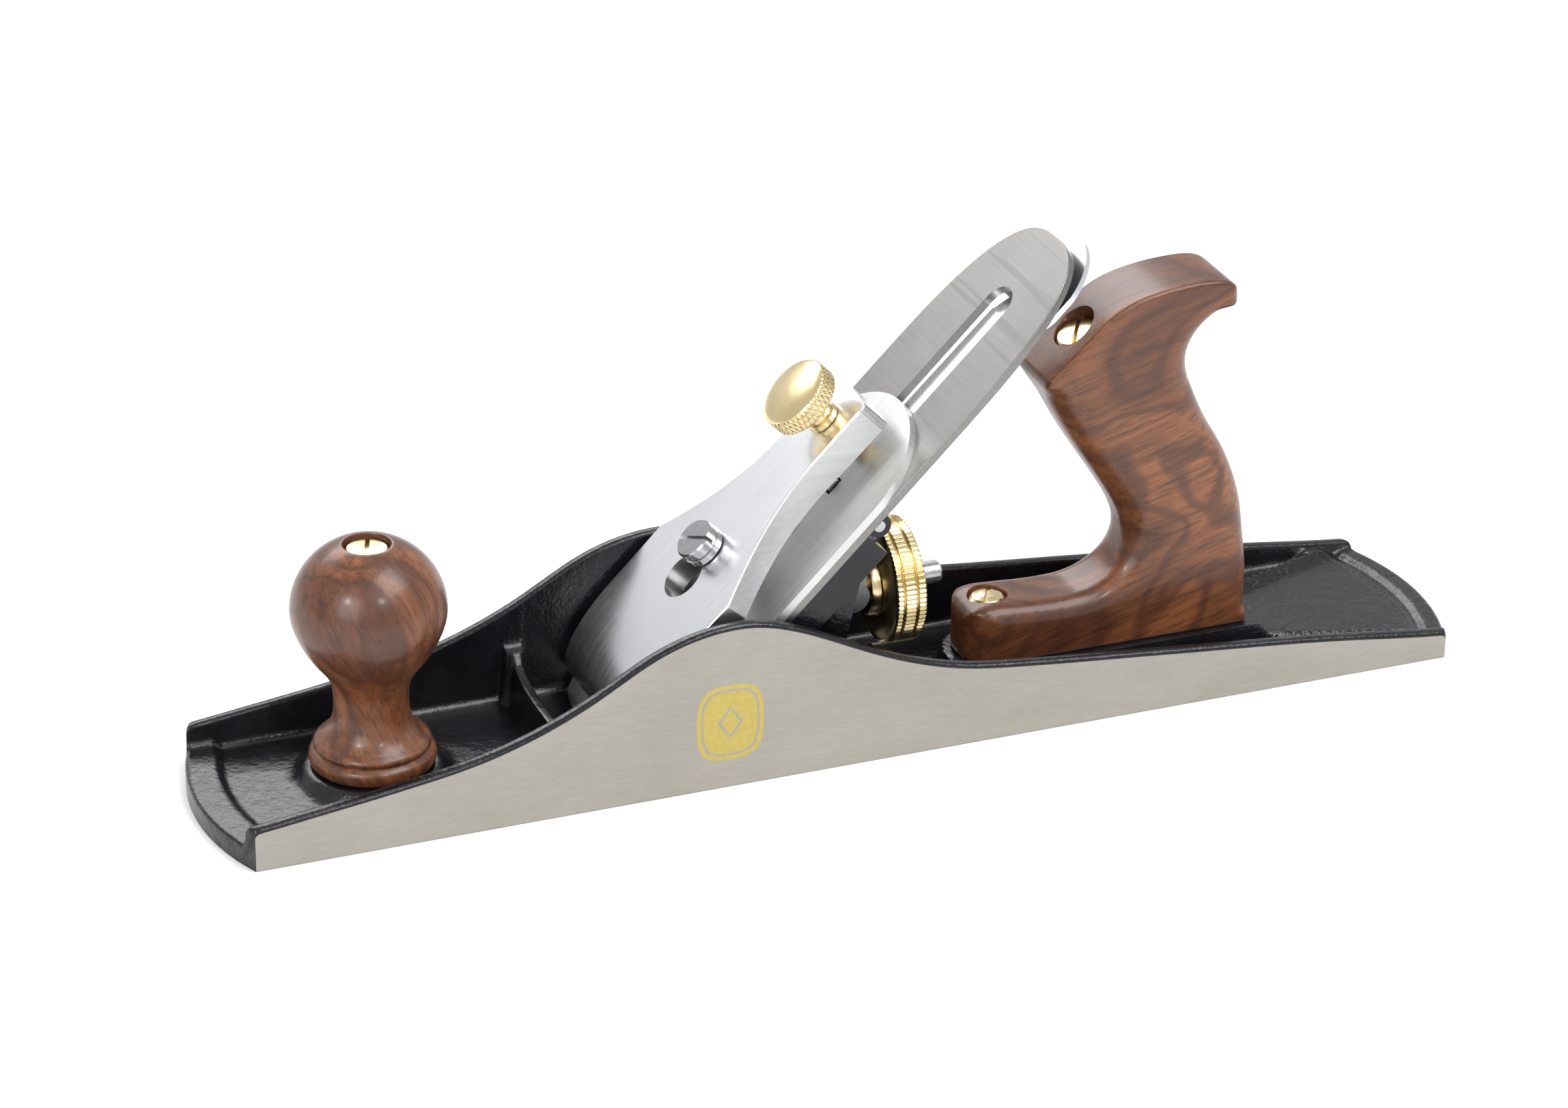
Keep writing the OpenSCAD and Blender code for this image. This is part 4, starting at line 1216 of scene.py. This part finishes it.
NODE_LOOKS = {
    "knob_stud": PLAIN_STEEL, "knob_nut": BRASS, "tote_rod": PLAIN_STEEL, "tote_nut": BRASS,
    "tote_toe_screw": BRASS, "frog": JAPAN, "frog_screws": PLAIN_STEEL,
    "frog_screw_washers": PLAIN_STEEL, "frog_clip": PLAIN_STEEL,
    "frog_clip_screw": PLAIN_STEEL, "frog_adjusting_screw": PLAIN_STEEL,
    "adjuster_stud": PLAIN_STEEL, "wheel_collar": BRASS, "yoke_lever": DARK_STEEL,
    "yoke_pin": PLAIN_STEEL, "lateral_lever": NICKEL, "lateral_rivet": PLAIN_STEEL,
    "lateral_roller": PLAIN_STEEL, "cap_iron_screw": PLAIN_STEEL,
    "lever_cap_screw": SCREW_STEEL,
}


def dress_nodes():
    for name, material in NODE_LOOKS.items():
        mesh = NODES[name].data
        if not mesh.materials:
            mesh.materials.append(material)
        for index in range(len(mesh.materials)):
            mesh.materials[index] = material


casting()
badge()
knob()
tote()
cutting_iron()
cap_iron()
lever_cap()
thumbscrew()
depth_wheel()
dress_nodes()

# ---------- studio ----------


CAMERA_AZIMUTH = math.radians(68.255)
CAMERA_ELEVATION = math.radians(26.313)
CAMERA_ROLL = math.radians(0.624)
CAMERA_TARGET = Vector((14.137, 0.0, 49.101)) * MM
CAMERA_DISTANCE = 1.35784
CAMERA_LENS = 117.015


def camera():
    azimuth, elevation, roll = CAMERA_AZIMUTH, CAMERA_ELEVATION, CAMERA_ROLL
    away = Vector((math.cos(elevation) * math.cos(azimuth),
                   math.cos(elevation) * math.sin(azimuth), math.sin(elevation)))
    data = bpy.data.cameras.new("camera")
    data.sensor_width = 36.0
    data.lens = CAMERA_LENS
    data.clip_start = 0.05
    data.clip_end = 50.0
    obj = bpy.data.objects.new("camera", data)
    SCENE.collection.objects.link(obj)
    right = (-away).cross(Vector((0, 0, 1))).normalized()
    up = right.cross(-away)
    right_rolled = right * math.cos(roll) + up * math.sin(roll)
    up_rolled = up * math.cos(roll) - right * math.sin(roll)
    turn = Matrix((right_rolled, up_rolled, away)).transposed()
    obj.matrix_world = Matrix.Translation(CAMERA_TARGET + away * CAMERA_DISTANCE) @ turn.to_4x4()
    SCENE.camera = obj


def softbox(name, at, aim, width, height, power, colour=(1, 1, 1)):
    data = bpy.data.lights.new(name, "AREA")
    data.shape = "RECTANGLE"
    data.size = width
    data.size_y = height
    data.energy = power
    data.color = colour
    obj = bpy.data.objects.new(name, data)
    SCENE.collection.objects.link(obj)
    obj.location = at
    obj.rotation_euler = (Vector(aim) - Vector(at)).to_track_quat("-Z", "Y").to_euler()


def sky():
    world = bpy.data.worlds.new("studio")
    SCENE.world = world
    world.use_nodes = True
    background = world.node_tree.nodes["Background"]
    background.inputs["Color"].default_value = (0.93, 0.94, 0.96, 1)
    background.inputs["Strength"].default_value = 0.75


def floor(size=6.0):
    mesh = bpy.data.meshes.new("floor")
    mesh.from_pydata([(-size, -size, 0), (size, -size, 0), (size, size, 0), (-size, size, 0)],
                     [], [(0, 1, 2, 3)])
    obj = bpy.data.objects.new("floor", mesh)
    SCENE.collection.objects.link(obj)
    m = Shader("floor_white")
    m.set(Roughness=0.6)
    m.link(m.ramp(m.noise(3, 2), [(0.3, (0.86, 0.86, 0.86)), (0.7, (0.88, 0.88, 0.88))]),
           m.bsdf.inputs["Base Color"])
    mesh.materials.append(m.material)


def lights():
    softbox("key", (-0.5, 0.6, 1.3), (0, 0, 0.03), 0.9, 0.9, 16)
    softbox("fill", (1.1, 0.9, 0.7), (0, 0, 0.03), 0.8, 0.8, 7)
    softbox("back", (0.1, -1.1, 0.9), (0, 0, 0.03), 1.2, 0.5, 9)
    # two small lights beside the camera, seen as highlights on the knob
    turn = SCENE.camera.matrix_world.to_3x3()
    for name, side, power in (("catch_left", -0.48, 3.0), ("catch_right", 0.29, 2.4)):
        at = turn @ Vector((side, 0.23, 0.88)) * 1.5
        softbox(name, at, (0, 0, 0.05), 0.16, 0.16, power)


camera()
sky()
floor()
lights()
SCENE.view_settings.view_transform = "Standard"
